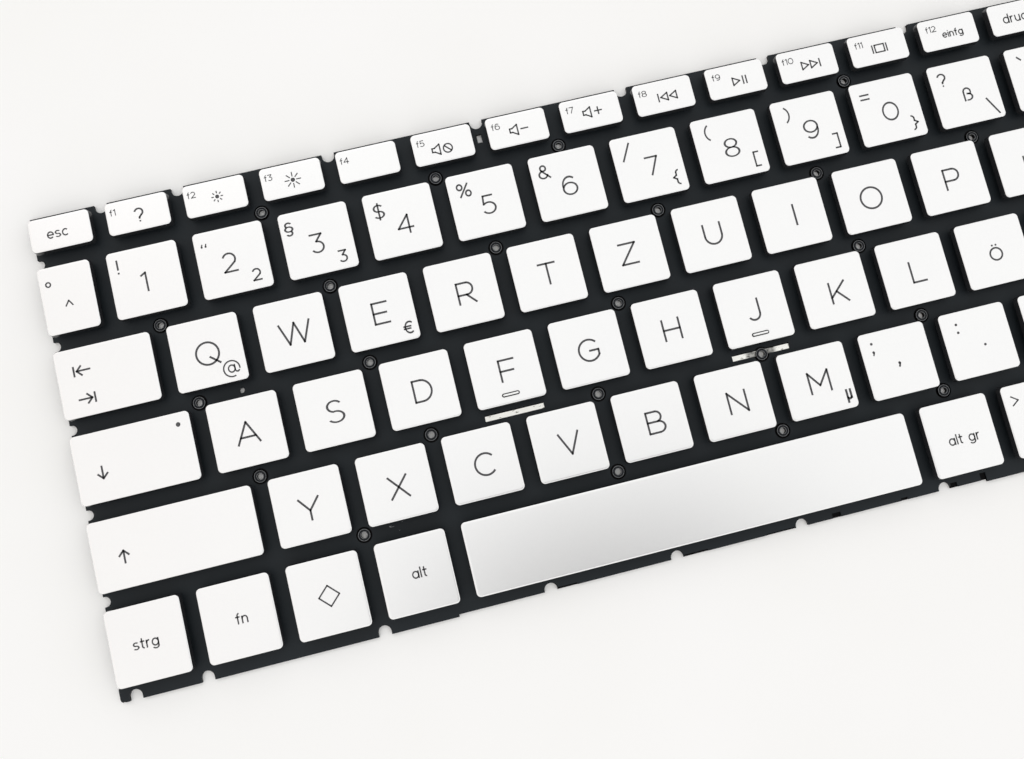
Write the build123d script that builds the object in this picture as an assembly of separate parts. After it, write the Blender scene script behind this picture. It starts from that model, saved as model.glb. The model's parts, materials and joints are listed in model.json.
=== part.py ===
from build123d import *
import os
from math import atan2, degrees, hypot
from typing import NamedTuple

# A notebook keyboard module: low keys on scissor mechanisms, over a switch film and a sheet-metal plate.
# Millimetres. X runs along the rows, Y to the back, Z up.
# The origin lies under the middle of the plate, on the surface that the plate rests on.

# Keys, measured on their tops
key_width = 15.37
key_depth = 15.05
key_gap = 3.63
row_gap = 3.7
function_key_depth = 7.4
function_key_gap = 3.55
bottom_key_width = 15.47
bottom_key_depth = 16.14
bottom_key_gap = 3.6
half_key_gap = 0.9

# The first key of each row has its own width, and so have the last ones of the two rows at the back.
# The number row sets the length of the field, and every other row fills it.
escape_width = 13.3
home_width = 14.75
caret_width = 11.385
backspace_width = 29.385
tab_width = 20.885
caps_lock_width = 25.635
left_shift_width = 35.135
ctrl_width = 15.9

# Heights
plate_thickness = 0.5
film_thickness = 0.3
key_travel = 1.2
skirt_clearance = 0.2
cap_height = 1.5

# Keycaps
cap_top_wall = 0.6
cap_side_wall = 0.7
cap_flare = 0.15
cap_corner_radius = 1.0
cap_edge_round = 0.2
homing_bar_length = 4.0
homing_bar_width = 0.9
homing_bar_height = 0.2
homing_bar_inset = 1.98
lens_radius = 0.45
lens_play = 0.05
lens_inset = 2.6
lens_rim = 0.35
lens_rim_height = 0.25
lens_recess = 0.05

# Scissor frames and the bars that the hooks and lugs hold
bar_radius = 0.3
bar_play = 0.05
frame_arm = 1.0
frame_play = 0.25
frame_room = 0.9
bar_room = 1.8
narrow_frame_arm = 0.55
narrow_frame_play = 0.15
narrow_frame_room = 0.15
narrow_bar_room = 1.325
pivot_radius = 0.15
pivot_play = 0.05
space_scissor_pitch = 30.0

# Lugs under the keycaps
lug_wall = 0.2
lug_roof = 0.05
lug_side = 0.15
lug_root = 0.2
lug_width = 1.0
lug_offset = 3.0
narrow_lug_width = 0.6
narrow_lug_offset = 1.05

# Hooks lanced out of the plate
hook_thickness = 0.25
hook_lip = 0.4
hook_length = 3.0
narrow_hook_length = 1.0
hook_window_play = 0.2
lance_length = 1.6

# Rubber domes
dome_room = 0.2
dome_rim = 0.4
dome_rim_height = 0.2
dome_wall = 0.45
dome_shoulder = 0.75
dome_top_play = 0.05
dome_top_radius = 1.8
narrow_dome_top_radius = 0.95
plunger_gap = 0.35
plunger_share = 0.5

# Wire stabilisers under the wide keys
wire_inset = 4.0
wire_back_room = 0.85
wire_leg = 5.5
wire_foot = 1.8
wire_bend = 0.8
wire_lug_inset = 3.0

# Plate and film
side_margin = 0.6
back_margin = 1.4
front_margin = 3.3
foot_step = 0.5
foot_depth = 3.4
foot_corner_radius = 0.8
front_recess_depth = 0.5
front_recess_left = -64.3
front_recess_right = 56.7
edge_slot_radius = 1.42
edge_slot_depth = 2.2
corner_slot_insets = (2.8, 18.1)
front_slot_places = (-80.5, -43.8, -15.3, 13.3, 46.7, 79.5)
back_notch_depth = 1.95
side_notch_radius = 1.1
side_notch_depth = 1.4
film_notches = ((-40.1, 4.4, 0.4), (-11.0, 5.4, 0.4), (8.4, 6.4, 0.3), (21.4, 2.0, 1.1), (37.2, 1.6, 0.6),
                (48.9, 1.6, 1.1), (55.9, 1.4, 1.6))
boss_hole_radius = 0.7
boss_radius = 1.3
boss_rise = 0.25
boss_lean = 0.55
film_hole_radius = 1.75
plain_hole_radius = 0.6
small_slot_width = 1.1
small_slot_length = 2.0
small_slot_lift = 0.8
strip_window_length = 13.4
strip_window_width = 1.4

# Heights that follow
deck = plate_thickness + film_thickness
skirt = deck + key_travel + skirt_clearance
cap_top = skirt + cap_height
ceiling = cap_top - cap_top_wall
bar_hole = bar_radius + bar_play
low_bar = deck + bar_hole
high_bar = ceiling - lug_roof - bar_hole
hook_top = low_bar + bar_hole + hook_thickness

# Key names, row by row
function_names = ["escape"] + [f"f{number}" for number in range(1, 13)] + ["print", "delete", "home"]
number_names = ["caret"] + list("1234567890") + ["eszett", "acute", "backspace"]
upper_names = ["tab"] + list("qwertzuiop") + ["u_umlaut", "plus", "hash"]
middle_names = ["caps_lock"] + list("asdfghjkl") + ["o_umlaut", "a_umlaut", "enter"]
lower_names = ["left_shift"] + list("yxcvbnm") + ["comma", "period", "dash", "right_shift"]
bottom_left_names = ["ctrl", "fn", "system", "alt"]
bottom_right_names = ["alt_gr", "angle", "left", "up", "right"]
homing_names = ["f", "j"]
wired_names = ["backspace", "enter", "left_shift", "right_shift", "space"]
right_side_names = ["acute", "backspace", "u_umlaut", "plus", "hash", "a_umlaut", "enter", "dash", "right_shift",
                    "left", "up", "down", "right"]

# Outlines that follow
inner_number_keys = len(number_names) - 2
inner_function_keys = len(function_names) - 2
field_width = caret_width + backspace_width + inner_number_keys * (key_width + key_gap) + key_gap
function_room = field_width - escape_width - home_width - (inner_function_keys + 1) * function_key_gap
function_key_width = function_room / inner_function_keys
field_depth = function_key_depth + 4 * key_depth + bottom_key_depth + 5 * row_gap
plate_width = field_width + 2 * side_margin
plate_depth = field_depth + back_margin + front_margin
plate_back = plate_depth / 2
plate_front = -plate_depth / 2
field_left = -field_width / 2
field_right = field_width / 2


class Key(NamedTuple):
    """A keycap's place and size, on its top."""

    x: float
    y: float
    width: float
    depth: float


class Scissor(NamedTuple):
    """The sizes of one kind of scissor mechanism and its dome."""

    reach: float
    half_width: float
    arm: float
    play: float
    lug_offset: float
    lug_width: float
    hook_length: float
    dome_top_radius: float


class Hook(NamedTuple):
    """A hook on the plate: the bar that it holds, the way its post stands, and its length."""

    x: float
    y: float
    turn: float
    length: float


# Rows, from the back to the front
row_depths = [function_key_depth] + [key_depth] * 4 + [bottom_key_depth]
row_middles = []
row_gap_middles = []
row_back = plate_back - back_margin
for row_depth in row_depths:
    row_middles.append(row_back - row_depth / 2)
    row_back -= row_depth + row_gap
    row_gap_middles.append(row_back + row_gap / 2)

# Bosses stand in the gap to the right of these keys, leaning to their row
boss_sites = (
    (0, 0, -1, ("f2", "f6", "f10", "delete")),
    (0, 1, 1, ("4", "acute")),
    (1, 2, 1, ("tab", "w", "r", "z", "i", "p", "plus")),
    (2, 3, 1, ("caps_lock", "s", "g", "k", "a_umlaut")),
    (3, 4, 1, ("left_shift", "x", "v", "n", "comma", "dash")),
    (4, 4, -1, ("y", "v", "n", "comma", "dash")),
)
back_notch_names = ("escape", "f1", "f3", "f5", "f7", "f9", "f11", "print")
row_key_gaps = [function_key_gap] + [key_gap] * 4 + [bottom_key_gap]


def run_of_keys(names, widths, left, row):
    """Keys side by side from a left edge, as {name: Key}."""
    keys = {}
    for name, width in zip(names, widths):
        keys[name] = Key(left + width / 2, row_middles[row], width, row_depths[row])
        left += width + row_key_gaps[row]
    return keys


def full_row(names, first_width, width, row):
    """A row across the field, whose last key takes what is left."""
    inner = [width] * (len(names) - 2)
    last_width = field_width - first_width - sum(inner) - (len(names) - 1) * row_key_gaps[row]
    return run_of_keys(names, [first_width] + inner + [last_width], field_left, row)


def bottom_row():
    """The row with the space bar between two blocks and the half-height keys."""
    row = len(row_depths) - 1
    left_widths = [ctrl_width] + [bottom_key_width] * (len(bottom_left_names) - 1)
    keys = run_of_keys(bottom_left_names, left_widths, field_left, row)
    right_widths = [bottom_key_width] * len(bottom_right_names)
    right_span = sum(right_widths) + (len(right_widths) - 1) * bottom_key_gap
    keys.update(run_of_keys(bottom_right_names, right_widths, field_right - right_span, row))
    space_left = field_left + sum(left_widths) + len(left_widths) * bottom_key_gap
    space_width = field_right - right_span - bottom_key_gap - space_left
    keys.update(run_of_keys(["space"], [space_width], space_left, row))
    half_depth = (bottom_key_depth - half_key_gap) / 2
    half_shift = (half_depth + half_key_gap) / 2
    column = keys["up"]
    keys["up"] = Key(column.x, column.y + half_shift, column.width, half_depth)
    keys["down"] = Key(column.x, column.y - half_shift, column.width, half_depth)
    return keys


def gap_after(key, row):
    """The middle of the gap to the right of a key."""
    return key.x + key.width / 2 + row_key_gaps[row] / 2


def is_narrow(key):
    return key.width < key_width or key.depth < key_depth


def scissor_of(key):
    """The mechanism that fits under a key, and its turn: its arms lie along the longer side of a narrow key."""
    if is_narrow(key):
        return narrow_scissor, 90 if key.width > key.depth else 0
    return full_scissor, 0


def scissor_places(name, key):
    """Where the mechanisms of a key stand, the one with the dome first."""
    turn = scissor_of(key)[1]
    shifts = [0, -space_scissor_pitch, space_scissor_pitch] if name == "space" else [0]
    return [Location((key.x + shift, key.y, 0), (0, 0, turn)) for shift in shifts]


def wire_half_length(key):
    return key.width / 2 - wire_inset


def wire_back(key):
    return key.y + key.depth / 2 - cap_side_wall - wire_back_room


def lug(width):
    """A lug under the ceiling of a keycap, round a bar along X above the origin."""
    bottom = high_bar - bar_hole - lug_wall
    top = ceiling + lug_root
    profile = Pos(0, (top + bottom) / 2) * Rectangle(2 * (bar_hole + lug_side), top - bottom)
    profile -= Pos(0, high_bar) * Circle(bar_hole)
    return extrude(Plane.YZ * profile, amount=width / 2, both=True)


def lugs_of(name, key):
    """All lugs under one keycap."""
    scissor = scissor_of(key)[0]
    one = lug(scissor.lug_width)
    lugs = []
    for place in scissor_places(name, key):
        for x in (-scissor.lug_offset, scissor.lug_offset):
            for y in (-scissor.reach, scissor.reach):
                lugs.append(place * Pos(x, y) * one)
    if name in wired_names:
        reach = wire_half_length(key) - wire_lug_inset
        lugs += [Pos(key.x + side * reach, wire_back(key)) * lug(lug_width) for side in (-1, 1)]
    return lugs


def keycap(name, key):
    """One keycap: a drafted shell with a rounded top edge and lugs under its ceiling."""
    wide = RectangleRounded(key.width + 2 * cap_flare, key.depth + 2 * cap_flare, cap_corner_radius + cap_flare)
    draft = degrees(atan2(cap_flare, cap_height))
    cap = extrude(Pos(key.x, key.y, skirt) * wide, amount=cap_height, taper=draft)
    cap = fillet(cap.faces().sort_by(Axis.Z)[-1].edges(), cap_edge_round)
    hollow = Rectangle(key.width - 2 * cap_side_wall, key.depth - 2 * cap_side_wall)
    cap -= extrude(Pos(key.x, key.y, skirt) * hollow, amount=ceiling - skirt)
    cap += lugs_of(name, key)
    if name in homing_names:
        bar_y = key.y - key.depth / 2 + homing_bar_inset
        bar = Pos(key.x, bar_y, cap_top) * SlotOverall(homing_bar_length, homing_bar_width)
        cap += extrude(bar, amount=homing_bar_height)
    if name == "caps_lock":
        window = lens_place(key) * Pos(0, 0, ceiling) * Circle(lens_radius + lens_play)
        cap -= extrude(window, amount=cap_top_wall)
    return cap


def lens_place(key):
    """The indicator's place, in the back right corner of its key."""
    return Pos(key.x + key.width / 2 - lens_inset, key.y + key.depth / 2 - lens_inset)


def lens(key):
    """The indicator's light pipe: a rim under the ceiling and a pin up to the key's top."""
    rim = extrude(Pos(0, 0, ceiling - lens_rim_height) * Circle(lens_radius + lens_rim), amount=lens_rim_height)
    pin = extrude(Pos(0, 0, ceiling) * Circle(lens_radius), amount=cap_top_wall - lens_recess)
    return lens_place(key) * (rim + pin)


def scissor_frame(half_width, arm, reach):
    """A flat frame about the origin: two arms along Y and a round bar across each end."""
    arm_x = half_width - arm / 2
    frame = Pos(-arm_x) * Box(arm, 2 * reach, 2 * bar_radius)
    frame += Pos(arm_x) * Box(arm, 2 * reach, 2 * bar_radius)
    for y in (-reach, reach):
        frame += Pos(0, y) * Rot(0, 90, 0) * Cylinder(bar_radius, 2 * half_width)
    return frame


def scissor_pair(scissor):
    """The outer and the inner frame of a mechanism, raised as they stand under a key at rest."""
    middle = (low_bar + high_bar) / 2
    rise = (high_bar - low_bar) / 2
    tilt = degrees(atan2(rise, scissor.reach))
    slope_reach = hypot(scissor.reach, rise)
    inner_half = scissor.half_width - scissor.arm - scissor.play
    outer = scissor_frame(scissor.half_width, scissor.arm, slope_reach)
    outer -= Rot(0, 90, 0) * Cylinder(pivot_radius + pivot_play, 2 * scissor.half_width)
    inner = scissor_frame(inner_half, scissor.arm, slope_reach)
    pin_length = scissor.arm / 2 + scissor.play
    for side in (-1, 1):
        pin_x = side * (inner_half + pin_length / 2)
        inner += Pos(pin_x) * Rot(0, 90, 0) * Cylinder(pivot_radius, pin_length)
    return Pos(0, 0, middle) * Rot(tilt, 0, 0) * outer, Pos(0, 0, middle) * Rot(-tilt, 0, 0) * inner


def rubber_dome(scissor):
    """A dome from the film to the ceiling of a key, hollow below, with a plunger over the switch."""
    body = scissor.half_width - 2 * scissor.arm - scissor.play - dome_room
    top = scissor.dome_top_radius
    peak = ceiling - dome_top_play
    rim_top = deck + dome_rim_height
    shoulder = peak - dome_shoulder
    plunger = plunger_share * top
    roof = shoulder - dome_wall
    outline = Polyline(
        (0, peak), (top, peak), (top, shoulder), (body, rim_top), (body + dome_rim, rim_top),
        (body + dome_rim, deck), (body - dome_wall, deck), (top - dome_wall, roof), (plunger, roof),
        (plunger, deck + plunger_gap), (0, deck + plunger_gap), close=True,
    )
    return revolve(make_face(Plane.XZ * outline), Axis.Z)


def stabiliser(key):
    """A wire along the back of a wide key, with a leg at each end that reaches a hook on the plate."""
    half = wire_half_length(key)
    back = wire_back(key)
    front = back - wire_leg
    points = [
        (key.x - half + wire_foot, front, low_bar), (key.x - half, front, low_bar),
        (key.x - half, back, high_bar), (key.x + half, back, high_bar),
        (key.x + half, front, low_bar), (key.x + half - wire_foot, front, low_bar),
    ]
    path = FilletPolyline(*points, radius=wire_bend)
    section = Plane(path @ 0, z_dir=path % 0) * Circle(bar_radius)
    return sweep(section, path)


def hook_sites():
    """Every hook on the plate: two for each mechanism and two for each wire."""
    sites = []
    for name, key in all_keys.items():
        scissor, turn = scissor_of(key)
        for place in scissor_places(name, key):
            for side_turn in (0, 180):
                at = (place * Rot(0, 0, side_turn) * Pos(0, scissor.reach)).position
                sites.append(Hook(at.X, at.Y, turn + side_turn, scissor.hook_length))
        if name in wired_names:
            reach = wire_half_length(key) - wire_foot + narrow_hook_length / 2
            front = wire_back(key) - wire_leg
            sites += [Hook(key.x + side * reach, front, 180, narrow_hook_length) for side in (-1, 1)]
    return sites


def hook(length):
    """A hook over a bar along X above the origin, with its post on the far side of the bar."""
    post = bar_hole + bar_play
    lip_z = hook_top - hook_thickness
    outline = Polyline(
        (post, plate_thickness / 2), (post + hook_thickness, plate_thickness / 2),
        (post + hook_thickness, hook_top), (post - hook_lip, hook_top), (post - hook_lip, lip_z),
        (post, lip_z), close=True,
    )
    return extrude(make_face(Plane.YZ * outline), amount=length / 2, both=True)


def site_rectangle(site, near, far, side_room):
    """The wire of a window beside a hook, between two distances from the bar that it holds."""
    window = Rectangle(site.length + 2 * side_room, far - near)
    return (Location((site.x, site.y, 0), (0, 0, site.turn)) * Pos(0, (near + far) / 2) * window).wire()


def boss_places():
    """The middles of the mounting bosses."""
    places = []
    for gap_row, key_row, lean, names in boss_sites:
        for name in names:
            y = row_gap_middles[gap_row] - lean * boss_lean
            places.append((gap_after(all_keys[name], key_row), y))
    return places


def edge_slot(radius, depth):
    """A round-ended slot of a given depth, cut upwards from an edge on the X axis."""
    slot = Pos(0, depth - radius) * Circle(radius)
    return slot + Pos(0, (depth - radius) / 2 - radius / 2) * Rectangle(2 * radius, depth)


def deck_outline():
    """The outline that the plate and the film share: feet, recess and edge notches."""
    outline = Rectangle(plate_width, plate_depth)
    for side in (-1, 1):
        foot_x = side * (plate_width + foot_step - foot_depth) / 2
        foot = RectangleRounded(foot_depth + foot_step, foot_depth, foot_corner_radius)
        outline += Pos(foot_x, plate_front + foot_depth / 2) * foot
        corner = Rectangle(foot_corner_radius, foot_corner_radius)
        outline -= Pos(side * (plate_width - foot_corner_radius) / 2, plate_front + foot_corner_radius / 2) * (
            corner - Pos(-side * foot_corner_radius / 2, foot_corner_radius / 2) * Circle(foot_corner_radius)
        )
    recess_width = front_recess_right - front_recess_left
    recess_x = (front_recess_left + front_recess_right) / 2
    outline -= Pos(recess_x, plate_front) * Rectangle(recess_width, 2 * front_recess_depth)
    slot = edge_slot(edge_slot_radius, edge_slot_depth)
    corner_places = [plate_width / 2 - inset for inset in corner_slot_insets]
    slot_places = list(front_slot_places) + corner_places + [-place for place in corner_places]
    outline -= [Pos(x, plate_front) * slot for x in slot_places]
    notch = Rot(0, 0, 180) * edge_slot(edge_slot_radius, back_notch_depth)
    outline -= [Pos(gap_after(all_keys[name], 0), plate_back) * notch for name in back_notch_names]
    bite = edge_slot(side_notch_radius, side_notch_depth)
    for y in row_gap_middles[:-1]:
        outline -= Pos(-plate_width / 2, y) * Rot(0, 0, -90) * bite
        outline -= Pos(plate_width / 2, y) * Rot(0, 0, 90) * bite
    return outline


def common_holes():
    """The small holes that go through the film and the plate alike."""
    plain = Pos(all_keys["a"].x, row_gap_middles[2]) * Circle(plain_hole_radius)
    slot_y = row_middles[0] + small_slot_lift
    slot = Pos(gap_after(all_keys["f5"], 0), slot_y) * Rectangle(small_slot_width, small_slot_length)
    return [plain.wire(), slot.wire()]


def base_plate():
    """The plate: its blank with holes and lanced windows, and the hooks and bosses that stand on it."""
    post_back = bar_hole + bar_play + hook_thickness
    holes = common_holes()
    holes += [(Pos(x, y) * Circle(boss_hole_radius)).wire() for x, y in boss_places()]
    holes += [site_rectangle(site, post_back, post_back + lance_length, 0) for site in hook_sites()]
    blank = Face(deck_outline().face().outer_wire(), holes)
    ring = Circle(boss_radius) - Circle(boss_hole_radius)
    boss = extrude(Pos(0, 0, plate_thickness / 2) * ring, amount=deck + boss_rise - plate_thickness / 2)
    standing = [Pos(x, y) * boss for x, y in boss_places()]
    for site in hook_sites():
        standing.append(Location((site.x, site.y, 0), (0, 0, site.turn)) * hook(site.length))
    return extrude(blank, amount=plate_thickness) + standing


def film():
    """The switch film: clear of the bosses and hooks, with two windows over bare metal."""
    post = bar_hole + bar_play
    near = post - hook_window_play
    far = post + hook_thickness + hook_window_play
    outline = deck_outline()
    for x, width, depth in film_notches:
        outline -= Pos(x, plate_front + front_recess_depth) * Rectangle(width, 2 * depth)
    holes = common_holes()
    holes += [(Pos(x, y) * Circle(film_hole_radius)).wire() for x, y in boss_places()]
    holes += [site_rectangle(site, near, far, hook_window_play) for site in hook_sites()]
    blank = Face(outline.face().outer_wire(), holes)
    sheet = extrude(Pos(0, 0, plate_thickness) * blank, amount=film_thickness)
    window = Box(strip_window_length, strip_window_width, 2 * film_thickness)
    return sheet - [Pos(all_keys[name].x, row_gap_middles[3], deck) * window for name in homing_names]


def save(node, shape):
    export_step(shape, f"parts/{node}.step")


# All keys, row by row
function_keys = full_row(function_names, escape_width, function_key_width, 0)
all_keys = dict(function_keys)
all_keys.update(full_row(number_names, caret_width, key_width, 1))
all_keys.update(full_row(upper_names, tab_width, key_width, 2))
all_keys.update(full_row(middle_names, caps_lock_width, key_width, 3))
all_keys.update(full_row(lower_names, left_shift_width, key_width, 4))
all_keys.update(bottom_row())

# The small mechanism fits under the shortest and the slimmest of the narrow keys
narrow_keys = [key for key in all_keys.values() if is_narrow(key)]
narrow_length = min(max(key.width, key.depth) for key in narrow_keys)
narrow_breadth = min(min(key.width, key.depth) for key in narrow_keys)
full_scissor = Scissor(
    reach=key_depth / 2 - cap_side_wall - bar_room,
    half_width=key_width / 2 - cap_side_wall - frame_room,
    arm=frame_arm,
    play=frame_play,
    lug_offset=lug_offset,
    lug_width=lug_width,
    hook_length=hook_length,
    dome_top_radius=dome_top_radius,
)
narrow_scissor = Scissor(
    reach=narrow_length / 2 - cap_side_wall - narrow_bar_room,
    half_width=narrow_breadth / 2 - cap_side_wall - narrow_frame_room,
    arm=narrow_frame_arm,
    play=narrow_frame_play,
    lug_offset=narrow_lug_offset,
    lug_width=narrow_lug_width,
    hook_length=narrow_hook_length,
    dome_top_radius=narrow_dome_top_radius,
)

os.makedirs("parts", exist_ok=True)

# Keycaps: the function row and the right-hand side are groups, every other key is a node of its own
function_caps = []
right_side_caps = []
for key_name, key in all_keys.items():
    cap = keycap(key_name, key)
    if key_name in function_keys:
        function_caps.append(cap)
    elif key_name in right_side_names:
        right_side_caps.append(cap)
    else:
        save(f"key_{key_name}", cap)
save("function_row_keys", Compound(function_caps))
save("right_side_keys", Compound(right_side_caps))
save("caps_lock_lens", lens(all_keys["caps_lock"]))

# Mechanisms under the keys
pairs = {scissor: scissor_pair(scissor) for scissor in (full_scissor, narrow_scissor)}
domes = {scissor: rubber_dome(scissor) for scissor in (full_scissor, narrow_scissor)}
outer_frames = []
inner_frames = []
dome_copies = []
for key_name, key in all_keys.items():
    kind = scissor_of(key)[0]
    places = scissor_places(key_name, key)
    outer_frames += [place * pairs[kind][0] for place in places]
    inner_frames += [place * pairs[kind][1] for place in places]
    dome_copies.append(places[0] * domes[kind])
save("scissor_outer_frames", Compound(outer_frames))
save("scissor_inner_frames", Compound(inner_frames))
save("rubber_domes", Compound(dome_copies))
save("stabiliser_wires", Compound([stabiliser(all_keys[name]) for name in wired_names]))

# Deck
save("base_plate", base_plate())
save("switch_film", film())
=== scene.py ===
import json
import logging
import math
from dataclasses import dataclass, field
from enum import Enum
from typing import Iterable, NamedTuple

import bmesh
import bpy
from bmesh.types import BMEdge, BMesh, BMFace, BMVert
from bpy.types import Material, Mesh, Node, NodeSocket, NodeTree, Object
from mathutils import Matrix, Vector

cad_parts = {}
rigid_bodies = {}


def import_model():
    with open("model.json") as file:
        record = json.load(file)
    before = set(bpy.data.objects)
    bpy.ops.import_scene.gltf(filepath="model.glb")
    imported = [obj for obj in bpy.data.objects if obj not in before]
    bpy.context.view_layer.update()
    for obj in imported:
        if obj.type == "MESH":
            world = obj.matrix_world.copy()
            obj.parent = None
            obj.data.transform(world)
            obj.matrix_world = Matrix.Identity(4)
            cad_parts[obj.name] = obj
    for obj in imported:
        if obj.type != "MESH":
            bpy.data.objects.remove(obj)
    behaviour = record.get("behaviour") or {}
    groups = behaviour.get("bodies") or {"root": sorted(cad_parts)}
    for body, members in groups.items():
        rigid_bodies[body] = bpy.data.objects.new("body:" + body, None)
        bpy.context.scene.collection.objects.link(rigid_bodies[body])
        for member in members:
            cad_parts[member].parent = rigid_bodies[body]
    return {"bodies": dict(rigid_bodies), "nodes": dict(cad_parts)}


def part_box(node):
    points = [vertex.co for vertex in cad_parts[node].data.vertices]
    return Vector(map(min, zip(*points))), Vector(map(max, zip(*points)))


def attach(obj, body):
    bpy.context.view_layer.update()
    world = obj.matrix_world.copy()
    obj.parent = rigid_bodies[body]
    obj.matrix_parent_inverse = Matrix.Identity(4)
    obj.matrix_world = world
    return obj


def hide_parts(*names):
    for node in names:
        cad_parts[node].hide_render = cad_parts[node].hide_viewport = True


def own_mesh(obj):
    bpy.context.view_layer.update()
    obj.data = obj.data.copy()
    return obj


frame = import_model()

# A notebook keyboard module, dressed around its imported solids.
# Sizes are in millimetres, and every finished mesh is turned to metres by MM.
# X runs along the rows, Y to the back, Z up. The origin lies under the middle of the plate.

MM = 0.001
DECK_BODY = "deck"
HOMING_KEYS = ("f", "j")
LOG = logging.getLogger("keyboard")
Value = float | tuple | NodeSocket


# Small helpers

def linear(code: str) -> tuple[float, float, float, float]:
    """Turns an sRGB hex colour into linear light.

    Args:
        code: Six hex digits.

    Returns:
        Red, green, blue and an alpha of one.
    """
    shares = [int(code[place:place + 2], 16) / 255 for place in (0, 2, 4)]
    bent = [share / 12.92 if share <= 0.04045 else ((share + 0.055) / 1.055) ** 2.4 for share in shares]
    return (bent[0], bent[1], bent[2], 1.0)


def per_mm(size: float) -> float:
    """Gives the texture scale whose features are about this many millimetres wide."""
    return 1.0 / (size * MM)


def add(tree: NodeTree, kind: str, sockets: dict | None = None, **settings: object) -> Node:
    """Adds a node with its settings, its input values and its links.

    Args:
        tree: The node tree that takes the node.
        kind: Blender's name of the node type.
        sockets: For each input, a value or the output that it is linked to.
        settings: The node's own properties.

    Returns:
        The new node.
    """
    node = tree.nodes.new(kind)
    for name, value in settings.items():
        setattr(node, name, value)
    for socket, value in (sockets or {}).items():
        if isinstance(value, NodeSocket):
            tree.links.new(value, node.inputs[socket])
        else:
            node.inputs[socket].default_value = value
    return node


def shade(mesh: BMesh, sharp: float = 35.0) -> None:
    """Shades a mesh smooth, apart from the edges that turn more than an angle in degrees."""
    for face in mesh.faces:
        face.smooth = True
    for edge in mesh.edges:
        edge.smooth = edge.calc_face_angle(math.pi) < math.radians(sharp)


def round_off(mesh: BMesh, edges: list[BMEdge], width: float, segments: int) -> None:
    """Rounds edges off over a width."""
    bmesh.ops.bevel(mesh, geom=edges, offset=width, segments=segments, profile=0.5, affect="EDGES",
                    material=-1)


def rising(mesh: BMesh, height: float) -> list[BMEdge]:
    """Finds the edges that rise by more than a height."""
    return [edge for edge in mesh.edges if abs(edge.verts[0].co.z - edge.verts[1].co.z) > height]


def highest(mesh: BMesh) -> BMFace:
    """Finds the face whose middle lies highest."""
    return max(mesh.faces, key=lambda face: face.calc_center_median().z)


def rod(mesh: BMesh, radius: float, length: float, segments: int, place: Matrix) -> None:
    """Adds a closed round rod along the Z axis of a place."""
    bmesh.ops.create_cone(mesh, cap_ends=True, segments=segments, radius1=radius, radius2=radius,
                          depth=length, matrix=place)


def to_mesh(mesh: BMesh, name: str, keep: bool = False) -> Mesh:
    """Writes a bmesh out as mesh data, and frees it unless it is kept."""
    data = bpy.data.meshes.new(name)
    mesh.to_mesh(data)
    if not keep:
        mesh.free()
    return data


def stamp(mesh: BMesh, template: Mesh, place: Matrix) -> None:
    """Adds a copy of a template to a mesh, at a place."""
    start = len(mesh.verts)
    mesh.from_mesh(template)
    mesh.verts.ensure_lookup_table()
    bmesh.ops.transform(mesh, matrix=place, verts=mesh.verts[start:])


def to_piece(mesh: BMesh, name: str, finish: "Finish", body: str) -> Object:
    """Turns a mesh in millimetres into a piece in metres that rides a body.

    Args:
        mesh: The shape, in its place. It is freed.
        name: The piece's name.
        finish: What the piece is made of.
        body: The body that carries it.

    Returns:
        The finished object, at the origin.
    """
    bmesh.ops.scale(mesh, vec=(MM, MM, MM), verts=mesh.verts)
    data = to_mesh(mesh, name)
    data.materials.append(finish.material())
    piece = bpy.data.objects.new(name, data)
    bpy.context.scene.collection.objects.link(piece)
    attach(piece, body)
    LOG.info("piece %s on %s, %d faces", name, body, len(data.polygons))
    return piece


# Finishes

class Finish:
    """A surface finish that makes its material once and then hands out the same one."""

    name: str

    def material(self) -> Material:
        """Returns the material, made on the first call."""
        made = bpy.data.materials.get(self.name)
        if made is None:
            made = bpy.data.materials.new(self.name)
            made.use_nodes = True
            made.node_tree.nodes.clear()
            shader = self.surface(made.node_tree)
            add(made.node_tree, "ShaderNodeOutputMaterial", {"Surface": shader.outputs[0]})
        return made

    def surface(self, tree: NodeTree) -> Node:
        """Builds the shader in an empty tree and returns it."""
        raise NotImplementedError


def object_place(tree: NodeTree) -> NodeSocket:
    """Gives the object coordinates of a material, in metres."""
    return add(tree, "ShaderNodeTexCoord").outputs["Object"]


def along(tree: NodeTree, axis: str) -> NodeSocket:
    """Gives one of the object coordinates of a material, in metres."""
    return add(tree, "ShaderNodeSeparateXYZ", {0: object_place(tree)}).outputs[axis]


def distance(tree: NodeTree, x: float, y: float) -> NodeSocket:
    """Gives the distance, in metres, from a place on the table that is given in millimetres."""
    spots = {0: object_place(tree), 1: (x * MM, y * MM, 0.0)}
    return add(tree, "ShaderNodeVectorMath", spots, operation="DISTANCE").outputs["Value"]


def grain(tree: NodeTree, size: float, low: float, high: float, detail: float = 2.0,
          stretch: tuple[float, float, float] = (1.0, 1.0, 1.0)) -> NodeSocket:
    """Adds a noise pattern of a real size.

    Args:
        tree: The material's node tree.
        size: The width of one grain, in millimetres.
        low: The value in the dark parts of the noise.
        high: The value in the light parts of the noise.
        detail: The noise's detail.
        stretch: How much finer the pattern is along each axis.

    Returns:
        The pattern, from low to high.
    """
    turned = add(tree, "ShaderNodeMapping", {"Vector": object_place(tree), "Scale": stretch})
    noise = add(tree, "ShaderNodeTexNoise",
                {"Vector": turned.outputs[0], "Scale": per_mm(size), "Detail": detail, "Roughness": 0.6})
    spread = add(tree, "ShaderNodeMapRange", {
        "Value": noise.outputs["Fac"], "From Min": 0.3, "From Max": 0.7, "To Min": low, "To Max": high,
    })
    return spread.outputs[0]


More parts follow.
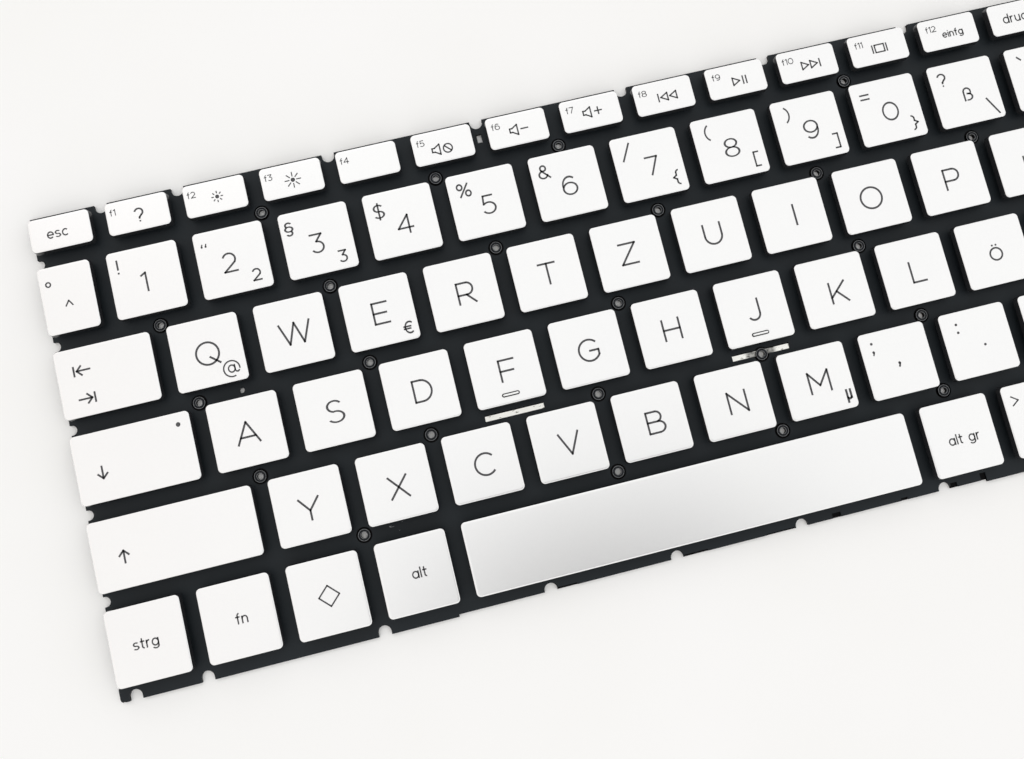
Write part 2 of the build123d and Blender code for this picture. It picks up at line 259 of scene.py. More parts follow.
def blend_colours(tree: NodeTree, share: Value, first: Value, second: Value) -> NodeSocket:
    """Mixes two colours, each a value or a socket, by a share from 0, all first, to 1, all second."""
    mix = add(tree, "ShaderNodeMix", {0: share, 6: first, 7: second}, data_type="RGBA")
    return mix.outputs[2]


def calculate(tree: NodeTree, operation: str, *values: Value) -> NodeSocket:
    """Adds a math node over values or sockets."""
    return add(tree, "ShaderNodeMath", dict(enumerate(values)), operation=operation).outputs[0]


def bumps(tree: NodeTree, height: NodeSocket, depth: float) -> NodeSocket:
    """Turns a height pattern into a normal, with the pattern's depth in millimetres."""
    return add(tree, "ShaderNodeBump", {"Height": height, "Strength": 1.0, "Distance": depth * MM}).outputs[0]


@dataclass(frozen=True)
class SilverPaint(Finish):
    """Silver metallic paint sprayed on black moulded ABS.

    The flakes give a fine grain and let the light of the room show on the flat tops. The spray only
    settles on what faces up, so every side stays black.
    """

    name: str = "silver_metallic_paint_on_abs"
    flake: str = "F8F8F8"
    bright_flake: str = "FBFBFA"
    plastic: str = "27282A"
    flake_size: float = 0.3
    flake_depth: float = 0.0005
    cloud_size: float = 22.0
    cloud_share: float = 0.35
    metal: float = 0.6
    roughness: tuple[float, float] = (0.19, 0.23)
    lowest_paint: float = 3.3
    bare_tilt: float = 0.42
    painted_tilt: float = 0.62

    def surface(self, tree: NodeTree) -> Node:
        """Builds the paint over the plastic, with flakes drawn coarser than real ones, so that they show."""
        above = calculate(tree, "GREATER_THAN", along(tree, "Z"), self.lowest_paint * MM)
        facing = add(tree, "ShaderNodeSeparateXYZ", {0: add(tree, "ShaderNodeTexCoord").outputs["Normal"]})
        cover = add(tree, "ShaderNodeMapRange", {
            "Value": facing.outputs["Z"], "From Min": self.bare_tilt, "From Max": self.painted_tilt,
        })
        painted = calculate(tree, "MULTIPLY", cover.outputs[0], above)
        flakes = grain(tree, self.flake_size, 0.0, 1.0)
        clouds = grain(tree, self.cloud_size, 0.0, self.cloud_share, 1.0)
        lightness = calculate(tree, "MULTIPLY_ADD", flakes, 1 - self.cloud_share, clouds)
        silver = blend_colours(tree, lightness, linear(self.flake), linear(self.bright_flake))
        colour = blend_colours(tree, painted, linear(self.plastic), silver)
        return add(tree, "ShaderNodeBsdfPrincipled", {
            "Base Color": colour,
            "Metallic": calculate(tree, "MULTIPLY", painted, self.metal),
            "Roughness": grain(tree, self.flake_size, *self.roughness),
            "IOR": 1.5,
            "Normal": bumps(tree, flakes, self.flake_depth),
        })


@dataclass(frozen=True)
class BlackFilm(Finish):
    """Matte black polyester film, cut to shape: a bluish black with faint handling marks and a scuff."""

    name: str = "black_polyester_film"
    base: str = "191E22"
    worn: str = "1F2529"
    core: str = "9A9C9E"
    mark_size: float = 14.0
    roughness: tuple[float, float] = (0.48, 0.58)
    grit: float = 0.25
    grit_depth: float = 0.003
    scratch_place: tuple[float, float] = (-72.9, -31.0)
    scratch_reach: float = 1.9
    scratch_size: float = 1.1
    scratch_stretch: tuple[float, float, float] = (0.6, 2.6, 1.0)
    scratch_level: float = 0.86

    def surface(self, tree: NodeTree) -> Node:
        """Builds the film, with a small scuff where it was scratched to its pale core."""
        marks = grain(tree, self.mark_size, 0.0, 1.0, 4.0)
        colour = blend_colours(tree, marks, linear(self.base), linear(self.worn))
        away = distance(tree, *self.scratch_place)
        near = calculate(tree, "LESS_THAN", away, self.scratch_reach * MM)
        lines = grain(tree, self.scratch_size, 0.0, 1.0, 3.0, self.scratch_stretch)
        torn = calculate(tree, "MULTIPLY", near, calculate(tree, "GREATER_THAN", lines, self.scratch_level))
        colour = blend_colours(tree, torn, colour, linear(self.core))
        return add(tree, "ShaderNodeBsdfPrincipled", {
            "Base Color": colour,
            "Roughness": grain(tree, self.mark_size, *self.roughness, 4.0),
            "IOR": 1.6,
            "Specular IOR Level": 0.17,
            "Normal": bumps(tree, grain(tree, self.grit, 0.0, 1.0), self.grit_depth),
        })


@dataclass(frozen=True)
class CoatedSteel(Finish):
    """Steel sheet with a black coating, coloured deeper black in its hollows as painted shade, and lighter on
    the bosses' tops and paler along their edges as painted highlights.

    The coating is worn off in two strips, which show bright scratched metal.
    """

    name: str = "black_coated_steel_sheet"
    # Painted shade: the coating below the boss tops is coloured deeper black than it is, for the shade in the
    # hollows.
    coat_with_painted_light: str = "050506"
    # Painted highlight: the boss tops are coloured lighter than the same coating below them.
    boss_top_highlight: str = "242629"
    # Painted highlight: a pale ring along the sharp edges of the boss tops.
    rim_highlight: str = "86888A"
    highlight_width: float = 0.2
    highlight_bend: float = 0.99
    roughness: tuple[float, float] = (0.3, 0.42)
    steel: str = "FDFCF6"
    scored: str = "77756E"
    score_size: float = 0.8
    score_stretch: tuple[float, float, float] = (0.4, 2.2, 1.0)
    score_level: float = 0.8
    score_depth: float = 0.004
    strips: tuple[tuple[float, float], ...] = ()
    strip_length: float = 13.4
    strip_width: float = 1.18
    strip_drop: float = 0.14
    # The last strip is coloured darker within a reach of the boss in its middle.
    strip_dark_tone: str = "3A3A39"
    dark_reach: float = 3.3
    dark_fade: float = 0.15
    dark_grain_size: float = 0.9
    lift: float = 0.55
    boss_level: float = 0.95

    def strip_mask(self, tree: NodeTree) -> NodeSocket:
        """Gives 1 on the flat of the sheet inside the strips, and 0 elsewhere."""
        shown: Value = 0.0
        for x, y in self.strips:
            middle = (y - self.strip_drop) * MM
            lengthwise = calculate(tree, "COMPARE", along(tree, "X"), x * MM, 0.5 * self.strip_length * MM)
            across = calculate(tree, "COMPARE", along(tree, "Y"), middle, 0.5 * self.strip_width * MM)
            shown = calculate(tree, "MAXIMUM", shown, calculate(tree, "MULTIPLY", lengthwise, across))
        flat = calculate(tree, "LESS_THAN", along(tree, "Z"), self.lift * MM)
        return calculate(tree, "MULTIPLY", shown, flat)

    def darkening_round_boss(self, tree: NodeTree) -> NodeSocket:
        """Gives how much darker the last strip is coloured round the boss in its middle, in a grainy pattern.
        """
        near = add(tree, "ShaderNodeMapRange", {
            "Value": distance(tree, *self.strips[-1]),
            "From Min": (1 + self.dark_fade) * self.dark_reach * MM,
            "From Max": (1 - self.dark_fade) * self.dark_reach * MM,
        })
        return calculate(tree, "MULTIPLY", near.outputs[0], grain(tree, self.dark_grain_size, 0.45, 1.0, 3.0))

    def rim_highlights(self, tree: NodeTree) -> NodeSocket:
        """Gives 1 along sharp edges, as wide as the painted highlight, and 0 elsewhere."""
        soft = add(tree, "ShaderNodeBevel", {"Radius": self.highlight_width * MM}, samples=8).outputs[0]
        flat = add(tree, "ShaderNodeNewGeometry").outputs["Normal"]
        likeness = add(tree, "ShaderNodeVectorMath", {0: soft, 1: flat}, operation="DOT_PRODUCT")
        return calculate(tree, "LESS_THAN", likeness.outputs["Value"], self.highlight_bend)

    def surface(self, tree: NodeTree) -> Node:
        """Builds the coating, with painted shade in its hollows and painted highlights on the bosses, and the
        bare strips.
        """
        bare = self.strip_mask(tree)
        # Painted light: the coating is darker below the boss tops as shade, and lighter on the tops and their
        # edges as highlights.
        raised = calculate(tree, "GREATER_THAN", along(tree, "Z"), self.boss_level * MM)
        boss = blend_colours(tree, self.rim_highlights(tree), linear(self.boss_top_highlight), linear(self.rim_highlight))
        coat_with_painted_light = blend_colours(tree, raised, linear(self.coat_with_painted_light), boss)
        scores = grain(tree, self.score_size, 0.0, 1.0, 4.0, self.score_stretch)
        deep = calculate(tree, "GREATER_THAN", scores, self.score_level)
        metal = blend_colours(tree, deep, linear(self.steel), linear(self.scored))
        metal = blend_colours(tree, self.darkening_round_boss(tree), metal, linear(self.strip_dark_tone))
        return add(tree, "ShaderNodeBsdfPrincipled", {
            "Base Color": blend_colours(tree, bare, coat_with_painted_light, metal),
            "Metallic": bare,
            "Roughness": grain(tree, 3.0, *self.roughness),
            "Specular IOR Level": 0.06,
            "Normal": bumps(tree, scores, self.score_depth),
        })


@dataclass(frozen=True)
class SoftBlack(Finish):
    """A dark moulded material: silicone rubber, acetal or bare ABS, with a faint mould texture."""

    name: str
    base: str
    light: str
    roughness: float
    index: float
    texture_size: float = 0.6

    def surface(self, tree: NodeTree) -> Node:
        """Builds a slightly uneven dark plastic or rubber."""
        tone = grain(tree, self.texture_size, 0.0, 1.0)
        return add(tree, "ShaderNodeBsdfPrincipled", {
            "Base Color": blend_colours(tree, tone, linear(self.base), linear(self.light)),
            "Roughness": self.roughness,
            "IOR": self.index,
        })


@dataclass(frozen=True)
class SpringWire(Finish):
    """Drawn spring steel: bright, with fine lines along the wire."""

    name: str = "drawn_spring_steel"
    steel: str = "B9B9BB"
    dull: str = "8E8F92"
    line_size: float = 0.8
    line_stretch: tuple[float, float, float] = (0.1, 1.0, 1.0)

    def surface(self, tree: NodeTree) -> Node:
        """Builds the bright wire."""
        lines = grain(tree, self.line_size, 0.0, 1.0, 2.0, self.line_stretch)
        return add(tree, "ShaderNodeBsdfPrincipled", {
            "Base Color": blend_colours(tree, lines, linear(self.steel), linear(self.dull)),
            "Metallic": 1.0,
            "Roughness": 0.32,
        })


@dataclass(frozen=True)
class SmokedAcrylic(Finish):
    """Smoked clear acrylic: the light pipe of an indicator that is off looks like a dark glossy dot."""

    name: str = "smoked_acrylic"
    smoke: str = "3C3C3E"
    core: str = "58585A"
    cloud_size: float = 0.5

    def surface(self, tree: NodeTree) -> Node:
        """Builds the dark glossy pipe."""
        depth = grain(tree, self.cloud_size, 0.0, 1.0)
        return add(tree, "ShaderNodeBsdfPrincipled", {
            "Base Color": blend_colours(tree, depth, linear(self.smoke), linear(self.core)),
            "Roughness": 0.22,
            "IOR": 1.49,
        })


@dataclass(frozen=True)
class PadInk(Finish):
    """Pad-printed ink: thin, dark grey and a little uneven in its gloss."""

    name: str = "pad_printing_ink"
    ink: str = "454547"
    blotch_size: float = 0.4

    def surface(self, tree: NodeTree) -> Node:
        """Builds the ink."""
        return add(tree, "ShaderNodeBsdfPrincipled", {
            "Base Color": linear(self.ink),
            "Roughness": grain(tree, self.blotch_size, 0.45, 0.6),
            "IOR": 1.5,
        })


@dataclass(frozen=True)
class Paper(Finish):
    """A large sheet of smooth white card with faint, wide clouds in its tone."""

    name: str = "white_card"
    white: str = "FAFAF9"
    shade: str = "F8F8F6"
    cloud_size: float = 60.0

    def surface(self, tree: NodeTree) -> Node:
        """Builds the card."""
        tone = grain(tree, self.cloud_size, 0.0, 1.0)
        return add(tree, "ShaderNodeBsdfPrincipled", {
            "Base Color": blend_colours(tree, tone, linear(self.white), linear(self.shade)),
            "Roughness": 0.9,
            "Specular IOR Level": 0.1,
        })


# Where the keys are

class Kind(Enum):
    """Which mechanism a key stands on."""

    FULL = "full"
    NARROW = "narrow"


class Key(NamedTuple):
    """A keycap's place and size, on its top."""

    name: str
    x: float
    y: float
    width: float
    depth: float


@dataclass
class KeyField:
    """The places of all keys: rows of equal keys, with wider ones at their ends."""

    key_width: float = 15.37
    key_depth: float = 15.05
    key_gap: float = 3.63
    row_gap: float = 3.7
    function_depth: float = 7.4
    function_gap: float = 3.55
    bottom_width: float = 15.47
    bottom_depth: float = 16.14
    bottom_gap: float = 3.6
    half_gap: float = 0.9
    escape_width: float = 13.3
    home_width: float = 14.75
    caret_width: float = 11.385
    backspace_width: float = 29.385
    tab_width: float = 20.885
    caps_lock_width: float = 25.635
    left_shift_width: float = 35.135
    ctrl_width: float = 15.9
    back_margin: float = 1.4
    front_margin: float = 3.3
    space_pitch: float = 30.0
    keys: dict[str, Key] = field(default_factory=dict)
    row_gaps: list[float] = field(default_factory=list)

    def __post_init__(self) -> None:
        """Works out the place of every key."""
        self.width = self.caret_width + self.backspace_width + 12 * self.key_width + 13 * self.key_gap
        depths = [self.function_depth] + [self.key_depth] * 4 + [self.bottom_depth]
        edge = (sum(depths) + 5 * self.row_gap + self.back_margin + self.front_margin) / 2 - self.back_margin
        middles = []
        for depth in depths:
            middles.append(edge - depth / 2)
            edge -= depth + self.row_gap
            self.row_gaps.append(edge + self.row_gap / 2)
        function_room = self.width - self.escape_width - self.home_width - 15 * self.function_gap
        names = ["escape"] + [f"f{number}" for number in range(1, 13)] + ["print", "delete", "home"]
        self.row(names, self.escape_width, function_room / 14, self.function_gap, middles[0], depths[0])
        letters = (
            (["caret", *"1234567890", "eszett", "acute", "backspace"], self.caret_width),
            (["tab", *"qwertzuiop", "u_umlaut", "plus", "hash"], self.tab_width),
            (["caps_lock", *"asdfghjkl", "o_umlaut", "a_umlaut", "enter"], self.caps_lock_width),
            (["left_shift", *"yxcvbnm", "comma", "period", "dash", "right_shift"], self.left_shift_width),
        )
        for (names, first), middle in zip(letters, middles[1:5]):
            self.row(names, first, self.key_width, self.key_gap, middle, self.key_depth)
        self.bottom_row(middles[5])

    def place(self, names: Iterable[str], widths: Iterable[float], left: float, gap: float, y: float,
              depth: float) -> None:
        """Puts keys side by side from a left edge."""
        for name, width in zip(names, widths):
            self.keys[name] = Key(name, left + width / 2, y, width, depth)
            left += width + gap

    def row(self, names: list[str], first: float, width: float, gap: float, y: float, depth: float) -> None:
        """Fills a row, whose last key takes what is left."""
        inner = [width] * (len(names) - 2)
        last = self.width - first - sum(inner) - (len(names) - 1) * gap
        self.place(names, [first, *inner, last], -self.width / 2, gap, y, depth)

    def bottom_row(self, y: float) -> None:
        """Puts the space bar between two blocks of keys, with two half-height keys in the right one."""
        gap = self.bottom_gap
        left = [self.ctrl_width] + [self.bottom_width] * 3
        self.place(["ctrl", "fn", "system", "alt"], left, -self.width / 2, gap, y, self.bottom_depth)
        right = [self.bottom_width] * 5
        start = self.width / 2 - sum(right) - 4 * gap
        self.place(["alt_gr", "angle", "left", "up", "right"], right, start, gap, y, self.bottom_depth)
        space_left = -self.width / 2 + sum(left) + 4 * gap
        self.place(["space"], [start - gap - space_left], space_left, gap, y, self.bottom_depth)
        half = (self.bottom_depth - self.half_gap) / 2
        shift = (half + self.half_gap) / 2
        column = self.keys["up"]
        self.keys["up"] = column._replace(y=y + shift, depth=half)
        self.keys["down"] = column._replace(name="down", y=y - shift, depth=half)

    def kind(self, key: Key) -> Kind:
        """Says which mechanism fits under a key."""
        slim = key.width < self.key_width or key.depth < self.key_depth
        return Kind.NARROW if slim else Kind.FULL

    def mechanism_places(self, key: Key) -> list[Matrix]:
        """Gives where the mechanisms of a key stand: three under the space bar, one under any other key."""
        turned = self.kind(key) is Kind.NARROW and key.width > key.depth
        shifts = (0.0, -self.space_pitch, self.space_pitch) if key.name == "space" else (0.0,)
        turn = Matrix.Rotation(math.pi / 2 if turned else 0.0, 4, "Z")
        return [Matrix.Translation((key.x + shift, key.y, 0.0)) @ turn for shift in shifts]

    def body(self, key: Key) -> str:
        """Names the body that carries a key: its own, or the deck for a key of a fixed group."""
        own = f"key_{key.name}"
        return own if own in frame["bodies"] else DECK_BODY

    def moving(self, key: Key) -> bool:
        """Says whether a key has a joint."""
        return self.body(key) != DECK_BODY

    def node(self, key: Key) -> str:
        """Names the solid that a keycap stands for."""
        if self.moving(key):
            return f"key_{key.name}"
        return "function_row_keys" if key.depth == self.function_depth else "right_side_keys"

    def worst_departure(self) -> float:
        """Measures the largest distance, in millimetres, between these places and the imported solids."""
        worst = 0.0
        for key in self.keys.values():
            if self.moving(key):
                low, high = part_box(f"key_{key.name}")
                middle = (low + high) / (2 * MM)
                worst = max(worst, abs(middle.x - key.x), abs(middle.y - key.y))
        return worst


# Heights that the pieces share

@dataclass(frozen=True)
class Heights:
    """Levels above the table."""

    deck: float = 0.8
    skirt: float = 2.2
    cap_top: float = 3.7
    ceiling: float = 3.1
    low_bar: float = 1.15
    high_bar: float = 2.7
    bar_radius: float = 0.3


LEVEL = Heights()


class Scissor(NamedTuple):
    """The sizes of one kind of mechanism: half length, half width, arm, play, lugs and dome."""

    reach: float
    half_width: float
    arm: float
    play: float
    lug_offset: float
    lug_width: float
    dome_top: float


SCISSORS = {
    Kind.FULL: Scissor(reach=5.025, half_width=6.085, arm=1.0, play=0.25, lug_offset=3.0, lug_width=1.0,
                       dome_top=1.8),
    Kind.NARROW: Scissor(reach=4.625, half_width=2.85, arm=0.55, play=0.15, lug_offset=1.05, lug_width=0.6,
                         dome_top=0.95),
}


@dataclass(frozen=True)
class WireRoute:
    """How a stabiliser wire lies under a wide key."""

    keys: tuple[str, ...] = ("backspace", "enter", "left_shift", "right_shift", "space")
    inset: float = 4.0
    back_room: float = 1.55
    leg: float = 5.5
    foot: float = 1.8
    bend: float = 0.8
    bend_steps: int = 4
    lug_inset: float = 3.0

    def half(self, key: Key) -> float:
        """Gives half of the length of the wire's long bar."""
        return key.width / 2 - self.inset

    def back(self, key: Key) -> float:
        """Gives where the long bar lies in Y."""
        return key.y + key.depth / 2 - self.back_room

    def corners(self, key: Key) -> list[Vector]:
        """Gives the corners of the wire: foot, leg, long bar, leg and foot."""
        half = self.half(key)
        back = self.back(key)
        front = back - self.leg
        spots = [(self.foot - half, front, LEVEL.low_bar), (-half, front, LEVEL.low_bar),
                 (-half, back, LEVEL.high_bar)]
        mirrored = [(-x, y, z) for x, y, z in reversed(spots)]
        return [Vector((key.x + x, y, z)) for x, y, z in spots + mirrored]

    def points(self, key: Key) -> list[Vector]:
        """Gives the points along the middle of the wire, with round bends at its corners."""
        corners = self.corners(key)
        points = [corners[0]]
        for before, corner, after in zip(corners, corners[1:], corners[2:]):
            start = corner + (before - corner).normalized() * self.bend
            end = corner + (after - corner).normalized() * self.bend
            for step in range(self.bend_steps + 1):
                share = step / self.bend_steps
                points.append(start.lerp(corner, share).lerp(corner.lerp(end, share), share))
        return points + [corners[-1]]


WIRE = WireRoute()


# Keycaps

@dataclass
class Keycaps:
    """The painted keycaps: drafted shells with a soft top edge and lugs under the ceiling."""

    keys: KeyField
    paint: Finish
    # Black plastic for the homing bars' edges, a dark outline of painted shade.
    bar_outline_shade: Finish
    flare: float = 0.15
    corner: float = 1.0
    edge: float = 0.22
    side_wall: float = 0.7
    rim: float = 0.3
    lug_half: float = 0.5
    lug_foot: float = 0.55
    lug_hole: float = 0.35
    lug_root: float = 0.05
    bar_length: float = 4.0
    bar_width: float = 0.9
    bar_height: float = 0.2
    bar_inset: float = 1.98
    # The width of the ring round the bar's flat top that takes the painted shade.
    bar_shade_ring: float = 0.07
    bar_corner_share: float = 0.49
    bar_edge_share: float = 0.95
    window_radius: float = 0.5
    window_inset: float = 2.6
    window_cut: float = 2.0

    def shell(self, key: Key) -> BMesh:
        """Models one keycap about its own middle.

        Args:
            key: The keycap's place and size.

        Returns:
            The open-bottomed shell as one closed skin.
        """
        mesh = bmesh.new()
        wide = key.width + 2 * self.flare
        deep = key.depth + 2 * self.flare
        tall = LEVEL.cap_top - LEVEL.skirt
        middle = Matrix.Translation((0.0, 0.0, LEVEL.skirt + tall / 2))
        bmesh.ops.create_cube(mesh, size=1.0, matrix=middle @ Matrix.Diagonal((wide, deep, tall, 1.0)))
        upper = [vert for vert in mesh.verts if vert.co.z > LEVEL.skirt + tall / 2]
        bmesh.ops.scale(mesh, vec=(key.width / wide, key.depth / deep, 1.0), verts=upper)
        round_off(mesh, rising(mesh, tall / 2), self.corner, 8)
        round_off(mesh, list(highest(mesh).edges), self.edge, 4)
        bmesh.ops.inset_region(mesh, faces=[highest(mesh)], thickness=self.rim, use_even_offset=True)
        bottom = min(mesh.faces, key=lambda face: face.calc_center_median().z)
        wall = self.side_wall + self.flare
        bmesh.ops.inset_region(mesh, faces=[bottom], thickness=wall, use_even_offset=True)
        raised = bmesh.ops.extrude_face_region(mesh, geom=[bottom])
        verts = [part for part in raised["geom"] if isinstance(part, BMVert)]
        bmesh.ops.translate(mesh, vec=(0.0, 0.0, LEVEL.ceiling - LEVEL.skirt), verts=verts)
        bmesh.ops.delete(mesh, geom=[bottom], context="FACES_ONLY")
        return mesh

    def lug(self, width: float) -> Mesh:
        """Models a lug with a hole for a bar along X, hung from the ceiling above the origin."""
        mesh = bmesh.new()
        bmesh.ops.create_grid(mesh, x_segments=3, y_segments=3, size=1.0)
        core = min(mesh.faces, key=lambda face: face.calc_center_median().length)
        inner = list(core.verts)
        bmesh.ops.delete(mesh, geom=[core], context="FACES_ONLY")
        outer = [vert for vert in mesh.verts if vert not in inner]
        bmesh.ops.scale(mesh, vec=(3 * self.lug_hole, 3 * self.lug_hole, 1.0), verts=inner)
        for vert in outer:
            vert.co.x *= self.lug_half
            vert.co.y *= self.lug_foot if vert.co.y < 0 else LEVEL.ceiling + self.lug_root - LEVEL.high_bar
        bmesh.ops.solidify(mesh, geom=list(mesh.faces), thickness=width)
        bmesh.ops.translate(mesh, vec=(0.0, 0.0, width / 2), verts=mesh.verts)
        stand = Matrix(((0.0, 0.0, 1.0), (1.0, 0.0, 0.0), (0.0, 1.0, 0.0))).to_4x4()
        lift = Matrix.Translation((0.0, 0.0, LEVEL.high_bar))
        bmesh.ops.transform(mesh, matrix=lift @ stand, verts=mesh.verts)
        bmesh.ops.recalc_face_normals(mesh, faces=mesh.faces)
        return to_mesh(mesh, "lug_template")

    def homing_bar(self, mesh: BMesh, key: Key) -> None:
        """Adds the raised bar that a finger feels on two keys; its edge and a thin ring of its top take the
        second material, a dark outline of painted shade.
        """
        bar = bmesh.new()
        size = Matrix.Diagonal((self.bar_length, self.bar_width, 2 * self.bar_height, 1.0))
        bmesh.ops.create_cube(bar, size=1.0, matrix=size)
        tall = self.bar_height
        edge = self.bar_edge_share * tall
        round_off(bar, rising(bar, tall), self.bar_corner_share * self.bar_width, 6)
        round_off(bar, list(highest(bar).edges), edge, 4)
        top = highest(bar)
        inner = bmesh.ops.extrude_face_region(bar, geom=[top])["geom"]
        narrow = [1 - 2 * self.bar_shade_ring / (size - 2 * edge) for size in (self.bar_length, self.bar_width)]
        bmesh.ops.scale(bar, vec=(*narrow, 1.0), verts=[part for part in inner if part in bar.verts[:]])
        bmesh.ops.delete(bar, geom=[top], context="FACES_ONLY")
        # The edge faces take the second material, the painted shade outline.
        for face in bar.faces:
            face.material_index = 0 if face in inner else 1
        template = to_mesh(bar, "homing_bar_template")
        front = -key.depth / 2 + self.bar_inset
        stamp(mesh, template, Matrix.Translation((0.0, front, LEVEL.cap_top)))

    def window(self, mesh: BMesh, key: Key) -> None:
        """Cuts the round window of the indicator out of the keycap's top."""
        corner = (key.width / 2 - self.window_inset, key.depth / 2 - self.window_inset)
        cutter = bmesh.new()
        rod(cutter, self.window_radius, self.window_cut, 24, Matrix.Translation((*corner, LEVEL.cap_top)))
        cut_away(mesh, cutter)

    def build(self) -> None:
        """Builds every keycap as a piece of its own."""
        lugs = {width: self.lug(width) for width in {scissor.lug_width for scissor in SCISSORS.values()}}
        for key in self.keys.keys.values():
            mesh = self.shell(key)
            if key.name in HOMING_KEYS:
                self.homing_bar(mesh, key)
            if key.name == "caps_lock":
                self.window(mesh, key)
            bmesh.ops.translate(mesh, vec=(key.x, key.y, 0.0), verts=mesh.verts)
            scissor = SCISSORS[self.keys.kind(key)]
            for place in self.keys.mechanism_places(key):
                for x in (-scissor.lug_offset, scissor.lug_offset):
                    for y in (-scissor.reach, scissor.reach):
                        stamp(mesh, lugs[scissor.lug_width], place @ Matrix.Translation((x, y, 0.0)))
            if key.name in WIRE.keys:
                reach = WIRE.half(key) - WIRE.lug_inset
                for x in (key.x - reach, key.x + reach):
                    stamp(mesh, lugs[scissor.lug_width], Matrix.Translation((x, WIRE.back(key), 0.0)))
            shade(mesh)
            piece = to_piece(mesh, f"keycap_{key.name}", self.paint, self.keys.body(key))
            if key.name in HOMING_KEYS:
                piece.data.materials.append(self.bar_outline_shade.material())
            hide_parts(self.keys.node(key))


def cut_away(mesh: BMesh, cutter: BMesh) -> None:
    """Cuts one closed mesh out of another with the Boolean modifier, and frees the cutter."""
    whole = bpy.data.objects.new("cut_whole", to_mesh(mesh, "cut_whole", keep=True))
    tool = bpy.data.objects.new("cut_tool", to_mesh(cutter, "cut_tool"))
    for item in (whole, tool):
        bpy.context.scene.collection.objects.link(item)
    step = whole.modifiers.new("cut", "BOOLEAN")
    step.object = tool
    step.operation = "DIFFERENCE"
    step.solver = "EXACT"
    result = bpy.data.meshes.new_from_object(whole.evaluated_get(bpy.context.evaluated_depsgraph_get()))
    mesh.clear()
    mesh.from_mesh(result)
    for item in (whole, tool):
        bpy.data.objects.remove(item)


# Printed legends

class Line(NamedTuple):
    """A straight pen stroke."""

    x0: float
    y0: float
    x1: float
    y1: float


class Arc(NamedTuple):
    """A round pen stroke about a middle, from one angle to another in degrees."""

    x: float
    y: float
    rx: float
    ry: float
    start: float
    end: float


class Dot(NamedTuple):
    """A filled round dot."""

    x: float
    y: float
    radius: float


ARC_SAMPLES = 12
Stroke = Line | Arc | Dot
Glyph = tuple[Stroke, ...]


def path(*points: tuple[float, float]) -> Glyph:
    """Gives the straight strokes through a row of points."""
    return tuple(Line(*first, *second) for first, second in zip(points, points[1:]))


def ring(x: float, y: float, rx: float, ry: float) -> Arc:
    """Gives a closed round stroke."""
    return Arc(x, y, rx, ry, 0, 360)


def moved(glyph: Glyph, x: float, y: float, scale: float = 1.0) -> Glyph:
    """Gives a glyph scaled about its origin and then moved."""
    shifted = []
    for stroke in glyph:
        if isinstance(stroke, Line):
            x0, y0, x1, y1 = (value * scale for value in stroke)
            shifted.append(Line(x0 + x, y0 + y, x1 + x, y1 + y))
        elif isinstance(stroke, Arc):
            place = (stroke.x * scale + x, stroke.y * scale + y)
            shifted.append(Arc(*place, stroke.rx * scale, stroke.ry * scale, stroke.start, stroke.end))
        else:
            shifted.append(Dot(stroke.x * scale + x, stroke.y * scale + y, stroke.radius * scale))
    return tuple(shifted)


def on_arc(arc: Arc, angle: float) -> tuple[float, float]:
    """Gives the point of an arc at an angle in degrees."""
    turn = math.radians(angle)
    return arc.x + arc.rx * math.cos(turn), arc.y + arc.ry * math.sin(turn)


def extent(glyph: Glyph) -> tuple[float, float]:
    """Gives the lowest and highest X of a glyph's strokes."""
    spans = []
    for stroke in glyph:
        if isinstance(stroke, Line):
            spans += [stroke.x0, stroke.x1]
        elif isinstance(stroke, Arc):
            for step in range(ARC_SAMPLES + 1):
                turn = stroke.start + (stroke.end - stroke.start) * step / ARC_SAMPLES
                spans.append(on_arc(stroke, turn)[0])
        else:
            spans.append(stroke.x)
    return min(spans), max(spans)


BOWL = (Arc(0.45, 0.71, 0.29, 0.29, 90, -90), Line(0, 1, 0.45, 1), Line(0, 0.42, 0.45, 0.42))
CURL = (Arc(0.36, 0.745, 0.33, 0.255, 30, 262), Arc(0.36, 0.255, 0.37, 0.255, 98, -150))
QUESTION = (Arc(0.3, 0.72, 0.3, 0.28, 165, -60), Line(0.45, 0.48, 0.3, 0.3), Line(0.3, 0.3, 0.3, 0.24),
            Dot(0.3, 0.02, 0.07))
HORN = path((-1.0, 0.45), (-0.45, 0.45), (0.75, 1.2), (0.75, -1.2), (-0.45, -0.45), (-1.0, -0.45),
            (-1.0, 0.45))
LEFT_TRIANGLE = path((0.8, 0.9), (-0.8, 0.0), (0.8, -0.9), (0.8, 0.9))
RIGHT_TRIANGLE = path((-0.8, 0.9), (0.8, 0.0), (-0.8, -0.9), (-0.8, 0.9))
LEFT_ARROW = (*path((1.4, 0.0), (-1.4, 0.0)), *path((-0.4, 1.0), (-1.4, 0.0), (-0.4, -1.0)))
RIGHT_ARROW = (*path((-1.4, 0.0), (1.4, 0.0)), *path((0.4, 1.0), (1.4, 0.0), (0.4, -1.0)))
UP_ARROW = (*path((0.0, -1.3), (0.0, 1.3)), *path((-1.0, 0.3), (0.0, 1.3), (1.0, 0.3)))
DOWN_ARROW = (*path((0.0, 1.3), (0.0, -1.3)), *path((-1.0, -0.3), (0.0, -1.3), (1.0, -0.3)))
DOTS = (Dot(-0.17, 0.0, 0.09), Dot(0.17, 0.0, 0.09))
HOOK = (Arc(0.42, 0.82, 0.2, 0.18, 90, 180), Line(0.22, 0.82, 0.22, 0.64), Line(0.22, 0.64, 0.0, 0.5),
        Line(0.0, 0.5, 0.22, 0.36), Line(0.22, 0.36, 0.22, 0.18), Arc(0.42, 0.18, 0.2, 0.18, 180, 270))
TURNED_HOOK = (Arc(0.0, 0.82, 0.2, 0.18, 90, 0), Line(0.2, 0.82, 0.2, 0.64), Line(0.2, 0.64, 0.42, 0.5),
               Line(0.42, 0.5, 0.2, 0.36), Line(0.2, 0.36, 0.2, 0.18), Arc(0.0, 0.18, 0.2, 0.18, 0, -90))

